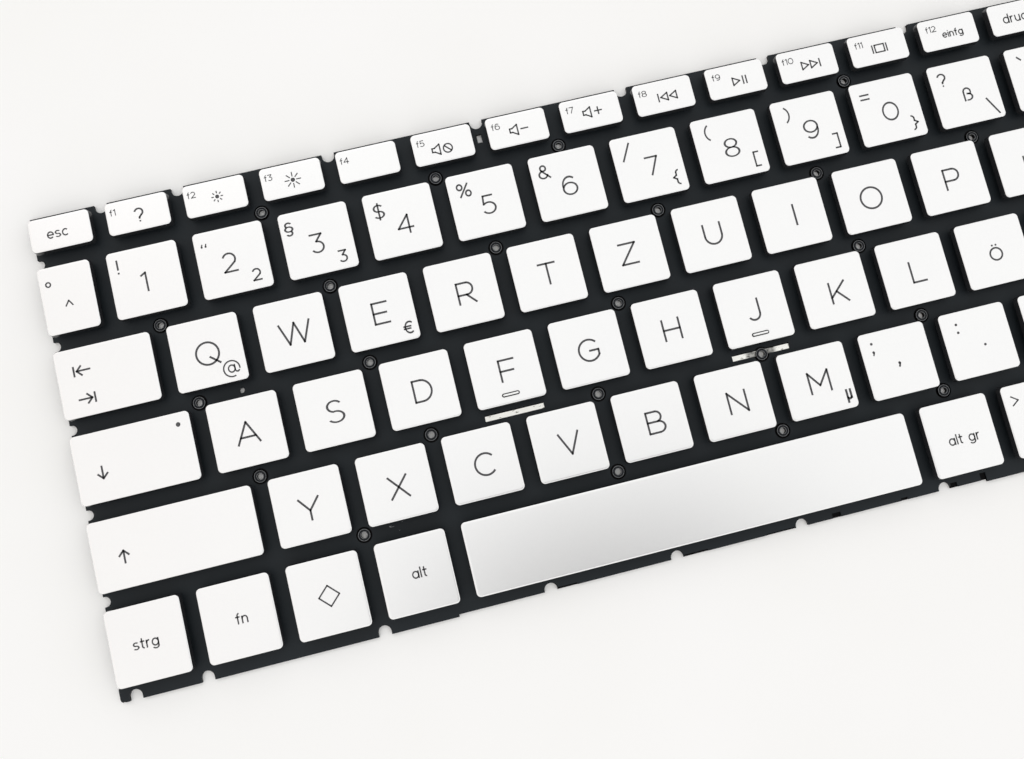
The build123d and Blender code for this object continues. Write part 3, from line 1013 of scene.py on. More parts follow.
# Capitals, digits and signs are one unit tall and stand on the base line
TALL = {
    "A": path((0, 0), (0.51, 1), (1.02, 0)) + path((0.155, 0.3), (0.865, 0.3)),
    "B": (*path((0.5, 0), (0, 0), (0, 1), (0.45, 1)), Line(0, 0.52, 0.5, 0.52),
          Arc(0.45, 0.76, 0.24, 0.24, 90, -90), Arc(0.5, 0.26, 0.3, 0.26, 90, -90)),
    "C": (Arc(0.5, 0.5, 0.5, 0.51, 42, 318),),
    "D": (*path((0.36, 0), (0, 0), (0, 1), (0.36, 1)), Arc(0.36, 0.5, 0.48, 0.5, 90, -90)),
    "E": path((0.7, 0), (0, 0), (0, 1), (0.7, 1)) + path((0, 0.5), (0.62, 0.5)),
    "F": path((0, 0), (0, 1), (0.72, 1)) + path((0, 0.48), (0.64, 0.48)),
    "G": (Arc(0.5, 0.5, 0.5, 0.51, 42, 330), *path((0.933, 0.245), (0.933, 0.47), (0.52, 0.47))),
    "H": path((0, 0), (0, 1)) + path((0.8, 0), (0.8, 1)) + path((0, 0.5), (0.8, 0.5)),
    "I": path((0, 0), (0, 1)),
    "J": (Line(0.58, 1, 0.58, 0.3), Arc(0.29, 0.3, 0.29, 0.3, 0, -150)),
    "K": path((0, 0), (0, 1)) + path((0.76, 1), (0, 0.27)) + path((0.3, 0.56), (0.8, 0)),
    "L": path((0, 1), (0, 0), (0.66, 0)),
    "M": path((0, 0), (0, 1), (0.49, 0.33), (0.98, 1), (0.98, 0)),
    "N": path((0, 0), (0, 1), (0.86, 0), (0.86, 1)),
    "O": (ring(0.53, 0.5, 0.53, 0.53),),
    "P": (Line(0, 0, 0, 1), *BOWL),
    "Q": (ring(0.53, 0.5, 0.53, 0.53), Line(0.62, 0.31, 1.04, -0.03)),
    "R": (Line(0, 0, 0, 1), *BOWL, Line(0.4, 0.42, 0.8, 0)),
    "S": CURL,
    "T": path((0, 1), (0.8, 1)) + path((0.4, 1), (0.4, 0)),
    "U": (Line(0, 1, 0, 0.42), Arc(0.42, 0.42, 0.42, 0.42, 180, 360), Line(0.84, 0.42, 0.84, 1)),
    "V": path((0, 1), (0.47, 0), (0.94, 1)),
    "W": path((0, 1), (0.38, 0), (0.72, 1), (1.06, 0), (1.44, 1)),
    "X": path((0, 0), (0.85, 1)) + path((0, 1), (0.85, 0)),
    "Y": path((0, 1), (0.46, 0.43), (0.92, 1)) + path((0.46, 0.43), (0.46, 0)),
    "Z": path((0, 1), (0.8, 1), (0, 0), (0.8, 0)),
    "1": path((0, 0.86), (0.24, 1), (0.24, 0)),
    "2": (Arc(0.34, 0.68, 0.33, 0.32, 160, -38), *path((0.6, 0.483), (0, 0), (0.7, 0))),
    "3": (*path((0.02, 1), (0.64, 1), (0.3, 0.6)), Arc(0.33, 0.3, 0.33, 0.3, 96, -150)),
    "4": path((0.6, 0), (0.6, 1), (0, 0.29), (0.82, 0.29)),
    "5": (*path((0.62, 1), (0.12, 1), (0.08, 0.53)), Arc(0.34, 0.31, 0.36, 0.31, 136, -150)),
    "6": (ring(0.38, 0.33, 0.38, 0.33), Arc(0.4, 0.5, 0.4, 0.5, 50, 190)),
    "7": path((0, 1), (0.66, 1), (0.2, 0)),
    "8": (ring(0.38, 0.76, 0.33, 0.24), ring(0.38, 0.26, 0.38, 0.26)),
    "9": (ring(0.38, 0.67, 0.38, 0.33), Arc(0.36, 0.5, 0.4, 0.5, 10, -130)),
    "0": (ring(0.43, 0.5, 0.43, 0.5),),
    "!": (Line(0, 0.32, 0, 1), Dot(0, 0.03, 0.08)),
    '"': (Dot(0.05, 0.73, 0.08), Line(0.05, 0.78, 0.1, 0.92), Dot(0.35, 0.73, 0.08),
          Line(0.35, 0.78, 0.4, 0.92)),
    "§": (ring(0.3, 0.5, 0.28, 0.19), Arc(0.3, 0.82, 0.22, 0.18, 25, 230),
          Arc(0.3, 0.18, 0.22, 0.18, 205, 410)),
    "$": (*CURL, Line(0.36, -0.14, 0.36, 1.14)),
    "%": (ring(0.22, 0.78, 0.2, 0.22), ring(0.82, 0.22, 0.2, 0.22), Line(0.18, 0, 0.86, 1)),
    "&": (ring(0.4, 0.79, 0.21, 0.21), Arc(0.34, 0.28, 0.32, 0.28, 105, 362), Line(0.22, 0.64, 0.84, 0)),
    "|": path((0, -0.1), (0, 1.1)),
    "(": (Arc(0.55, 0.5, 0.55, 0.62, 120, 240),),
    ")": (Arc(-0.25, 0.5, 0.55, 0.62, 60, -60),),
    "[": path((0.32, 1), (0, 1), (0, 0), (0.32, 0)),
    "]": path((0, 1), (0.32, 1), (0.32, 0), (0, 0)),
    "{": HOOK,
    "}": TURNED_HOOK,
    "=": path((0, 0.68), (0.66, 0.68)) + path((0, 0.32), (0.66, 0.32)),
    "?": QUESTION,
    "ß": (Line(0, 0, 0, 0.7), Arc(0.29, 0.7, 0.29, 0.3, 180, -40), Arc(0.3, 0.28, 0.34, 0.27, 85, -115),
          Line(0.5, 0.5, 0.28, 0.545)),
    "@": (ring(0.5, 0.5, 0.2, 0.22), Line(0.7, 0.72, 0.7, 0.42), Arc(0.83, 0.42, 0.13, 0.15, 180, 340),
          Arc(0.5, 0.5, 0.5, 0.5, -8, 292)),
    "€": (Arc(0.5, 0.5, 0.4, 0.5, 50, 310), Line(0, 0.6, 0.6, 0.6), Line(0, 0.4, 0.56, 0.4)),
    "µ": (Line(0, 1, 0, -0.35), Arc(0.22, 0.28, 0.22, 0.26, 180, 360), Line(0.44, 0.1, 0.44, 1)),
    "°": (ring(0.5, 0.5, 0.5, 0.5),),
    "^": path((0, 0.45), (0.36, 1), (0.72, 0.45)),
    "<": path((0.7, 1), (0, 0.5), (0.7, 0)),
    ">": path((0, 1), (0.7, 0.5), (0, 0)),
    "+": path((0, 0.5), (0.8, 0.5)) + path((0.4, 0.9), (0.4, 0.1)),
    "-": path((0, 0.5), (0.5, 0.5)),
    "_": path((0, 0), (0.6, 0)),
    "*": path((0.3, 1), (0.3, 0.5)) + path((0.07, 0.88), (0.53, 0.62)) + path((0.07, 0.62), (0.53, 0.88)),
    "~": (Arc(0.18, 0.45, 0.18, 0.16, 180, 20), Arc(0.5, 0.55, 0.18, 0.16, 200, 360)),
    "#": path((0.2, 0), (0.36, 1)) + path((0.5, 0), (0.66, 1)) + path((0.05, 0.66), (0.8, 0.66))
         + path((0, 0.34), (0.75, 0.34)),
    "'": path((0.06, 1), (0, 0.7)),
    "´": path((0, 0.75), (0.25, 1)),
    "`": path((0, 1), (0.25, 0.75)),
    ".": (Dot(0, 0, 0.3),),
    ",": (Dot(0, 0, 0.3), Line(0.12, -0.1, -0.12, -0.75)),
    ":": (Dot(0, 0, 0.15), Dot(0, 0.9, 0.15)),
    ";": (Dot(0, 0, 0.15), Line(0.05, -0.05, -0.06, -0.32), Dot(0, 0.95, 0.15)),
    " ": (),
}

# Small letters are one unit tall without their ascender
SMALL = {
    "a": (ring(0.45, 0.5, 0.45, 0.5), Line(0.9, 0, 0.9, 1)),
    "c": (Arc(0.45, 0.5, 0.45, 0.5, 45, 315),),
    "d": (ring(0.45, 0.5, 0.45, 0.5), Line(0.9, 0, 0.9, 1.5)),
    "e": (Arc(0.45, 0.5, 0.45, 0.5, 0, 318), Line(0.03, 0.5, 0.9, 0.5)),
    "f": (Line(0.25, 0, 0.25, 1.2), Arc(0.5, 1.2, 0.25, 0.3, 180, 80), Line(0, 1, 0.5, 1)),
    "g": (ring(0.45, 0.5, 0.45, 0.5), Line(0.9, 1, 0.9, -0.05), Arc(0.45, -0.05, 0.45, 0.38, 0, -150)),
    "i": (Line(0, 0, 0, 1), Dot(0, 1.4, 0.13)),
    "k": path((0, 0), (0, 1.5)) + path((0.62, 1), (0, 0.4)) + path((0.2, 0.6), (0.68, 0)),
    "l": path((0, 0), (0, 1.5)),
    "n": (Line(0, 0, 0, 1), Arc(0.38, 0.6, 0.38, 0.4, 180, 0), Line(0.76, 0.6, 0.76, 0)),
    "o": (ring(0.46, 0.5, 0.46, 0.5),),
    "p": (ring(0.45, 0.5, 0.45, 0.5), Line(0, 1, 0, -0.45)),
    "r": (Line(0, 0, 0, 1), Arc(0.36, 0.62, 0.36, 0.38, 180, 75)),
    "s": CURL,
    "t": (Line(0.2, 0.24, 0.2, 1.4), Arc(0.46, 0.24, 0.26, 0.24, 180, 275), Line(0, 1, 0.5, 1)),
    "u": (Line(0, 1, 0, 0.4), Arc(0.38, 0.4, 0.38, 0.4, 180, 360), Line(0.76, 1, 0.76, 0)),
}


def sun(core: float, inner: float, outer: float) -> Glyph:
    """Gives a filled dot with eight rays, in millimetres."""
    rays = []
    for number in range(8):
        turn = math.radians(45 * number)
        rays.append(Line(inner * math.cos(turn), inner * math.sin(turn), outer * math.cos(turn),
                         outer * math.sin(turn)))
    return (Dot(0.0, 0.0, core), *rays)


# Signs in millimetres about their own middle
SIGNS = {
    "dim": sun(0.45, 0.85, 1.2),
    "bright": sun(0.5, 0.85, 1.75),
    "mute": (*moved(HORN, -1.2, 0.0), ring(1.35, -0.1, 1.0, 1.0), Line(0.68, 0.55, 2.02, -0.75)),
    "softer": (*moved(HORN, -1.1, 0.0), *path((0.45, 0.0), (2.0, 0.0))),
    "louder": (*moved(HORN, -1.1, 0.0), *path((0.55, 0.0), (2.15, 0.0)), *path((1.35, 0.8), (1.35, -0.8))),
    "back": (*path((-2.1, 0.9), (-2.1, -0.9)), *moved(LEFT_TRIANGLE, -0.75, 0.0),
             *moved(LEFT_TRIANGLE, 1.35, 0.0)),
    "play": (*moved(RIGHT_TRIANGLE, -0.75, 0.0), *path((0.85, 0.9), (0.85, -0.9)),
             *path((1.6, 0.9), (1.6, -0.9))),
    "next": (*moved(RIGHT_TRIANGLE, -1.4, 0.0), *moved(RIGHT_TRIANGLE, 0.7, 0.0),
             *path((2.1, 0.9), (2.1, -0.9))),
    "screen": (*path((-1.1, 0.9), (1.1, 0.9), (1.1, -0.9), (-1.1, -0.9), (-1.1, 0.9)),
               *path((-1.7, 0.9), (-1.7, -0.9)), *path((1.7, 0.9), (1.7, -0.9))),
    "tab_back": (*moved(LEFT_ARROW, 0.3, 0.0), *path((-1.7, 1.0), (-1.7, -1.0))),
    "tab_on": (*moved(RIGHT_ARROW, -0.3, 0.0), *path((1.7, 1.0), (1.7, -1.0))),
    "left": LEFT_ARROW,
    "right": RIGHT_ARROW,
    "up": UP_ARROW,
    "down": DOWN_ARROW,
    "return": (*LEFT_ARROW, *path((1.4, 0.0), (1.4, 1.2))),
    "slash": path((-1.02, -1.95), (1.02, 1.95)),
    "backslash": path((-1.07, 1.97), (1.07, -1.97)),
    "diamond": path((0.0, 2.2), (2.2, 0.0), (0.0, -2.2), (-2.2, 0.0), (0.0, 2.2)),
    "a_dots": (*moved(TALL["A"], -1.65, -2.1, 3.2), *moved(DOTS, 0.0, 2.0, 3.2)),
    "o_dots": (ring(0.0, -0.1, 1.4, 1.4), *moved(DOTS, 0.0, 1.95, 2.6)),
    "u_dots": (*moved(TALL["U"], -1.35, -1.6, 3.0), *moved(DOTS, 0.0, 2.0, 3.2)),
}


class Print(Enum):
    """The sizes of print: the height of a capital and the width of the pen, in millimetres."""

    LETTER = (4.65, 0.45)
    DIGIT = (4.1, 0.42)
    UPPER = (2.9, 0.4)
    LOWER = (2.5, 0.38)
    QUOTE = (2.9, 0.27)
    BRACKET = (3.3, 0.38)
    ROUND = (3.5, 0.33)
    WORD = (2.03, 0.31)
    SHORT = (1.53, 0.28)
    HEAVY = (2.0, 0.5)
    TINY = (1.3, 0.19)
    FINE = (1.0, 0.25)
    SIGN = (1.0, 0.33)
    BOLD = (1.0, 0.41)


class Mark(NamedTuple):
    """Print on a key: its text or the name of a sign, its middle in X, its base line in Y, and its size."""

    text: str
    x: float
    y: float
    size: Print


SMALL_SHARE = 0.68
LETTER_SPACE = 0.26
LETTER_BASE = -2.6
NUMBER_BASE = -2.45
FUNCTION_BASE = 0.75


def letter(text: str, x: float, *more: Mark, base: float = LETTER_BASE) -> tuple[Mark, ...]:
    """Gives the marks of a letter key."""
    return (Mark(text, x, base, Print.LETTER), *more)


def number(text: str, x: float, upper: Mark, *more: Mark, base: float = NUMBER_BASE) -> tuple[Mark, ...]:
    """Gives the marks of a number key: the number, the sign at its upper left, and any other sign."""
    return (Mark(text, x, base, Print.DIGIT), upper, *more)


def function(text: str, x: float, *more: Mark) -> tuple[Mark, ...]:
    """Gives the marks of a function key: its small name at the upper left, and its sign."""
    return (Mark(text, x, FUNCTION_BASE, Print.TINY), *more)


MARKS: dict[str, tuple[Mark, ...]] = {
    "escape": (Mark("esc", -0.6, -1.1, Print.WORD),),
    "f1": function("f1", -5.25, Mark("?", 0.3, -1.75, Print.UPPER)),
    "f2": function("f2", -5.05, Mark("dim", 0.45, -0.15, Print.FINE)),
    "f3": function("f3", -5.05, Mark("bright", 0.2, -0.2, Print.FINE)),
    "f4": function("f4", -5.0),
    "f5": function("f5", -4.9, Mark("mute", -0.4, -0.75, Print.SIGN)),
    "f6": function("f6", -4.75, Mark("softer", 0.35, -0.22, Print.SIGN)),
    "f7": function("f7", -4.65, Mark("louder", 0.3, 0.05, Print.SIGN)),
    "f8": function("f8", -4.75, Mark("back", 0.75, -0.3, Print.SIGN)),
    "f9": function("f9", -4.45, Mark("play", 0.7, -0.4, Print.SIGN)),
    "f10": function("f10", -4.45, Mark("next", 0.75, -0.35, Print.SIGN)),
    "f11": function("f11", -4.45, Mark("screen", 0.25, -0.2, Print.SIGN)),
    "f12": function("f12", -4.0, Mark("einfg", 0.9, -1.1, Print.SHORT)),
    "print": (Mark("druck", -0.1, -1.0, Print.WORD),),
    "delete": (Mark("entf", 0.0, -1.0, Print.WORD),),
    "home": (Mark("pos1", 0.0, -0.8, Print.WORD),),
    "caret": (Mark("^", -0.08, -2.65, Print.WORD), Mark("°", -3.72, 3.2, Print.SIGN)),
    "1": number("1", -0.5, Mark("!", -5.55, 2.6, Print.UPPER)),
    "2": number("2", -0.75, Mark('"', -5.5, 2.1, Print.QUOTE), Mark("2", 4.45, -5.6, Print.LOWER)),
    "3": number("3", -0.33, Mark("§", -5.7, 2.4, Print.UPPER), Mark("3", 4.6, -5.9, Print.LOWER),
                base=-2.65),
    "4": number("4", 0.5, Mark("$", -4.55, 1.8, Print.UPPER), base=-2.85),
    "5": number("5", 0.6, Mark("%", -4.1, 2.25, Print.UPPER), base=-2.7),
    "6": number("6", 0.3, Mark("&", -4.65, 2.25, Print.UPPER), base=-2.65),
    "7": number("7", 0.65, Mark("slash", -4.47, 3.9, Print.BOLD), Mark("{", 5.3, -5.9, Print.BRACKET)),
    "8": number("8", 0.3, Mark("(", -4.35, 2.4, Print.BRACKET), Mark("[", 5.3, -5.9, Print.BRACKET)),
    "9": number("9", 0.3, Mark(")", -4.3, 2.4, Print.BRACKET), Mark("]", 5.3, -5.9, Print.BRACKET)),
    "0": number("0", 0.4, Mark("=", -4.6, 2.6, Print.UPPER), Mark("}", 5.25, -5.9, Print.BRACKET)),
    "eszett": (Mark("ß", 0.2, -2.0, Print.UPPER), Mark("?", -4.8, 2.5, Print.UPPER),
               Mark("backslash", 5.22, -4.52, Print.BOLD)),
    "acute": (Mark("´", 0.2, -1.2, Print.DIGIT), Mark("`", -4.6, 2.4, Print.UPPER)),
    "backspace": (Mark("left", 9.0, -0.4, Print.BOLD),),
    "tab": (Mark("tab_back", -5.0, 2.45, Print.BOLD), Mark("tab_on", -4.95, -3.8, Print.BOLD)),
    "q": letter("Q", 0.0, Mark("@", 4.4, -6.45, Print.ROUND)),
    "w": letter("W", 0.35),
    "e": letter("E", 0.28, Mark("€", 5.45, -6.05, Print.LOWER)),
    "r": letter("R", 0.5),
    "t": letter("T", 0.15),
    "z": letter("Z", -0.3, base=-2.35),
    "u": letter("U", 0.38, base=-2.35),
    "i": letter("I", 0.6, base=-2.35),
    "o": letter("O", -0.25),
    "p": letter("P", 0.2),
    "u_umlaut": (Mark("u_dots", 0.2, -0.4, Print.BOLD),),
    "plus": (Mark("+", 0.2, -2.0, Print.DIGIT), Mark("*", -4.8, 2.3, Print.UPPER),
             Mark("~", 5.0, -6.0, Print.UPPER)),
    "hash": (Mark("#", 0.2, -2.0, Print.UPPER), Mark("'", -4.8, 2.3, Print.UPPER)),
    "caps_lock": (Mark("down", -7.2, -1.3, Print.BOLD),),
    "a": letter("A", 0.05),
    "s": letter("S", 0.3),
    "d": letter("D", 0.55),
    "f": letter("F", 0.55),
    "g": letter("G", -0.1),
    "h": letter("H", 0.0, base=-2.35),
    "j": letter("J", -0.1, base=-2.35),
    "k": letter("K", 0.7, base=-2.95),
    "l": letter("L", 0.5),
    "o_umlaut": (Mark("o_dots", 0.22, -0.5, Print.BOLD),),
    "a_umlaut": (Mark("a_dots", 0.2, -0.3, Print.BOLD),),
    "enter": (Mark("return", 11.5, -0.6, Print.BOLD),),
    "left_shift": (Mark("up", -10.9, -0.95, Print.BOLD),),
    "y": letter("Y", 0.02, base=-2.9),
    "x": letter("X", 0.35, base=-2.9),
    "c": letter("C", 0.3),
    "v": letter("V", 0.42),
    "b": letter("B", 0.8),
    "n": letter("N", 0.48),
    "m": letter("M", 0.35, Mark("µ", 6.05, -5.45, Print.HEAVY)),
    "comma": (Mark(",", 0.05, -0.4, Print.BOLD), Mark(";", -5.0, 3.1, Print.WORD)),
    "period": (Mark(".", 1.15, -1.0, Print.BOLD), Mark(":", -4.1, 2.9, Print.WORD)),
    "dash": (Mark("-", 0.2, -2.4, Print.DIGIT), Mark("_", -4.8, 2.6, Print.UPPER)),
    "right_shift": (Mark("up", 14.0, -0.7, Print.BOLD),),
    "ctrl": (Mark("strg", -0.4, -1.0, Print.WORD),),
    "fn": (Mark("fn", 0.5, -1.0, Print.WORD),),
    "system": (Mark("diamond", 0.15, 0.0, Print.SIGN),),
    "alt": (Mark("alt", 0.6, -0.85, Print.WORD),),
    "alt_gr": (Mark("alt gr", 0.4, -1.5, Print.WORD),),
    "angle": (Mark("<", 0.2, -1.2, Print.LOWER), Mark(">", -5.1, 3.6, Print.WORD),
              Mark("|", 5.2, -5.8, Print.LOWER)),
    "left": (Mark("left", 0.0, 0.0, Print.BOLD),),
    "up": (Mark("up", 0.0, 0.0, Print.BOLD),),
    "down": (Mark("down", 0.0, 0.0, Print.BOLD),),
    "right": (Mark("right", 0.0, 0.0, Print.BOLD),),
}


@dataclass
class Legends:
    """The print on the keys: thin raised strokes of ink."""

    keys: KeyField
    ink: Finish
    thickness: float = 0.024
    arc_step: float = 11.0
    overlap: float = 0.8

    def line(self, mesh: BMesh, stroke: Line, pen: float) -> None:
        """Adds a straight stroke, with ends that close the corners it makes with its neighbours."""
        start = Vector((stroke.x0, stroke.y0))
        reach = Vector((stroke.x1, stroke.y1)) - start
        middle = start + reach / 2
        turn = Matrix.Rotation(math.atan2(reach.y, reach.x), 4, "Z")
        size = Matrix.Diagonal((reach.length + pen * self.overlap, pen, self.thickness, 1.0))
        bmesh.ops.create_cube(mesh, size=1.0, matrix=Matrix.Translation((*middle, 0.0)) @ turn @ size)

    def arc(self, mesh: BMesh, stroke: Arc, pen: float) -> None:
        """Adds a round stroke: a small upright square, spun about the middle and then scaled."""
        radius = (stroke.rx + stroke.ry) / 2
        share = pen / (2 * radius)
        first = math.radians(stroke.start)
        corners = []
        for reach, level in ((1 - share, -0.5), (1 + share, -0.5), (1 + share, 0.5), (1 - share, 0.5)):
            spot = (reach * math.cos(first), reach * math.sin(first), level * self.thickness)
            corners.append(mesh.verts.new(spot))
        edges = [mesh.edges.new((corners[place - 1], corners[place])) for place in range(4)]
        sweep = stroke.end - stroke.start
        closed = abs(sweep) >= 360
        before = set(mesh.verts) - set(corners)
        bmesh.ops.spin(mesh, geom=corners + edges, cent=(0, 0, 0), axis=(0, 0, 1), dvec=(0, 0, 0),
                       angle=math.radians(sweep), steps=max(5, round(abs(sweep) / self.arc_step)),
                       use_merge=closed, use_duplicate=False)
        made = [vert for vert in mesh.verts if vert not in before]
        if not closed:
            ends = {edge for vert in made for edge in vert.link_edges if edge.is_boundary}
            bmesh.ops.holes_fill(mesh, edges=list(ends), sides=4)
        bmesh.ops.scale(mesh, vec=(stroke.rx, stroke.ry, 1.0), verts=made)
        bmesh.ops.translate(mesh, vec=(stroke.x, stroke.y, 0.0), verts=made)

    def dot(self, mesh: BMesh, stroke: Dot) -> None:
        """Adds a round dot."""
        rod(mesh, stroke.radius, self.thickness, 14, Matrix.Translation((stroke.x, stroke.y, 0.0)))

    def strokes(self, mark: Mark) -> Glyph:
        """Lays out the strokes of one mark about its key's middle.

        Args:
            mark: The print and its place.

        Returns:
            The strokes, in millimetres.
        """
        height = mark.size.value[0]
        if mark.text in SIGNS:
            return moved(SIGNS[mark.text], mark.x, mark.y)
        laid: list[Stroke] = []
        pen_x = 0.0
        for sign in mark.text:
            small = sign in SMALL
            scale = height * (SMALL_SHARE if small else 1.0)
            glyph = SMALL[sign] if small else TALL[sign]
            if not glyph:
                pen_x += 2 * LETTER_SPACE * height
                continue
            low, high = extent(glyph)
            laid += moved(glyph, pen_x - low * scale, 0.0, scale)
            pen_x += (high - low) * scale + LETTER_SPACE * height
        middle = sum(extent(tuple(laid))) / 2
        return moved(tuple(laid), mark.x - middle, mark.y)

    def build(self) -> None:
        """Builds the print of every key as a piece that rides the key."""
        for name, marks in MARKS.items():
            key = self.keys.keys[name]
            mesh = bmesh.new()
            for mark in marks:
                pen = mark.size.value[1]
                for stroke in self.strokes(mark):
                    if isinstance(stroke, Line):
                        self.line(mesh, stroke, pen)
                    elif isinstance(stroke, Arc):
                        self.arc(mesh, stroke, pen)
                    else:
                        self.dot(mesh, stroke)
            bmesh.ops.recalc_face_normals(mesh, faces=mesh.faces)
            bmesh.ops.translate(mesh, vec=(key.x, key.y, LEVEL.cap_top), verts=mesh.verts)
            to_piece(mesh, f"legend_{name}", self.ink, self.keys.body(key))


# Mechanisms under the keys

@dataclass
class Mechanisms:
    """The rubber domes, scissor frames and stabiliser wires, built standing as under a key at rest."""

    keys: KeyField
    rubber: Finish
    acetal: Finish
    wire: Finish
    dome_room: float = 0.2
    dome_rim: float = 0.4
    dome_rim_height: float = 0.2
    dome_wall: float = 0.45
    dome_shoulder: float = 0.75
    dome_play: float = 0.05
    plunger_gap: float = 0.35
    pin_radius: float = 0.15
    folded_frame: float = 0.22
    folded_dome: float = 0.44

    def dome(self, scissor: Scissor) -> Mesh:
        """Models a dome by spinning half of its section."""
        body = scissor.half_width - 2 * scissor.arm - scissor.play - self.dome_room
        peak = LEVEL.ceiling - self.dome_play
        shoulder = peak - self.dome_shoulder
        roof = shoulder - self.dome_wall
        plunger = scissor.dome_top / 2
        rim = body + self.dome_rim
        rim_top = LEVEL.deck + self.dome_rim_height
        tip = LEVEL.deck + self.plunger_gap
        section = (
            (0.0, peak), (scissor.dome_top, peak), (scissor.dome_top, shoulder), (body, rim_top),
            (rim, rim_top), (rim, LEVEL.deck), (body - self.dome_wall, LEVEL.deck),
            (scissor.dome_top - self.dome_wall, roof), (plunger, roof), (plunger, tip), (0.0, tip),
        )
        mesh = bmesh.new()
        verts = [mesh.verts.new((reach, 0.0, level)) for reach, level in section]
        edges = [mesh.edges.new(pair) for pair in zip(verts, verts[1:])]
        bmesh.ops.spin(mesh, geom=verts + edges, cent=(0, 0, 0), axis=(0, 0, 1), dvec=(0, 0, 0),
                       angle=2 * math.pi, steps=20, use_merge=True, use_duplicate=False)
        bmesh.ops.remove_doubles(mesh, verts=mesh.verts, dist=0.001)
        bmesh.ops.recalc_face_normals(mesh, faces=mesh.faces)
        shade(mesh)
        return to_mesh(mesh, "dome_template")

    def bar(self, mesh: BMesh, radius: float, length: float, place: Matrix) -> None:
        """Adds a round bar along X."""
        rod(mesh, radius, length, 10, place @ Matrix.Rotation(math.pi / 2, 4, "Y"))

    def frame_pair(self, scissor: Scissor) -> Mesh:
        """Models the outer and the inner frame of a mechanism, crossed as they stand under a key at rest."""
        mesh = bmesh.new()
        rise = (LEVEL.high_bar - LEVEL.low_bar) / 2
        tilt = math.atan2(rise, scissor.reach)
        slope = math.hypot(scissor.reach, rise)
        inner = scissor.half_width - scissor.arm - scissor.play
        middle = Matrix.Translation((0.0, 0.0, (LEVEL.low_bar + LEVEL.high_bar) / 2))
        for half, lean in ((scissor.half_width, tilt), (inner, -tilt)):
            place = middle @ Matrix.Rotation(lean, 4, "X")
            for side in (-1, 1):
                arm = Matrix.Translation((side * (half - scissor.arm / 2), 0.0, 0.0))
                size = Matrix.Diagonal((scissor.arm, 2 * slope, 2 * LEVEL.bar_radius, 1.0))
                bmesh.ops.create_cube(mesh, size=1.0, matrix=place @ arm @ size)
                end = Matrix.Translation((0.0, side * slope, 0.0))
                self.bar(mesh, LEVEL.bar_radius, 2 * half, place @ end)
        self.bar(mesh, self.pin_radius, 2 * (inner + scissor.play) + scissor.arm, middle)
        shade(mesh)
        return to_mesh(mesh, "frame_template")

    def stabiliser(self, mesh: BMesh, key: Key) -> None:
        """Adds the wire of a wide key: a bar along its back and a leg at each end that reaches a hook."""
        spots = WIRE.points(key)
        for first, second in zip(spots, spots[1:]):
            run = second - first
            turn = run.to_track_quat("X", "Z").to_matrix().to_4x4()
            self.bar(mesh, LEVEL.bar_radius, run.length, Matrix.Translation((first + second) / 2) @ turn)
        for spot in spots[1:-1]:
            bmesh.ops.create_icosphere(mesh, subdivisions=2, radius=LEVEL.bar_radius,
                                       matrix=Matrix.Translation(spot))

    def settle(self, piece: Object) -> None:
        """Gives a piece under a moving key a mesh of its own."""
        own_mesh(piece)

    def build(self) -> None:
        """Builds the mechanisms: pieces of their own under moving keys, and joined ones under fixed keys."""
        frames = {kind: self.frame_pair(scissor) for kind, scissor in SCISSORS.items()}
        domes = {kind: self.dome(scissor) for kind, scissor in SCISSORS.items()}
        moving = [[key] for key in self.keys.keys.values() if self.keys.moving(key)]
        fixed = [key for key in self.keys.keys.values() if not self.keys.moving(key)]
        for group in [*moving, fixed]:
            name = group[0].name if len(group) == 1 else "fixed_keys"
            frame_mesh = bmesh.new()
            dome_mesh = bmesh.new()
            wire_mesh = bmesh.new()
            for key in group:
                kind = self.keys.kind(key)
                places = self.keys.mechanism_places(key)
                for place in places:
                    stamp(frame_mesh, frames[kind], place)
                stamp(dome_mesh, domes[kind], places[0])
                if key.name in WIRE.keys:
                    self.stabiliser(wire_mesh, key)
            made = [
                (frame_mesh, "scissors", self.acetal, "scissor_plastic", self.folded_frame,
                 ("scissor_outer_frames", "scissor_inner_frames")),
                (dome_mesh, "dome", self.rubber, "dome_rubber", self.folded_dome, ("rubber_domes",)),
                (wire_mesh, "wire", self.wire, "spring_wire", self.folded_frame, ("stabiliser_wires",)),
            ]
            for mesh, label, finish, slot, folded, nodes in made:
                if not mesh.verts:
                    mesh.free()
                    continue
                shade(mesh)
                piece = to_piece(mesh, f"{label}_{name}", finish, DECK_BODY)
                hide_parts(*nodes)
                if len(group) == 1:
                    self.settle(piece)


# Deck

@dataclass
class Deck:
    """The plate, the film and the indicator's light pipe: solids that keep their shape and get a finish."""

    keys: KeyField

    def dress(self) -> None:
        """Gives each solid of the deck its finish."""
        strips = tuple((self.keys.keys[name].x, self.keys.row_gaps[3]) for name in HOMING_KEYS)
        finishes = {
            "base_plate": CoatedSteel(strips=strips),
            "switch_film": BlackFilm(),
            "caps_lock_lens": SmokedAcrylic(),
        }
        for node, finish in finishes.items():
            solid = frame["nodes"][node]
            solid.data.materials.clear()
            solid.data.materials.append(finish.material())
            LOG.info("finish %s on %s", finish.name, node)


# Studio

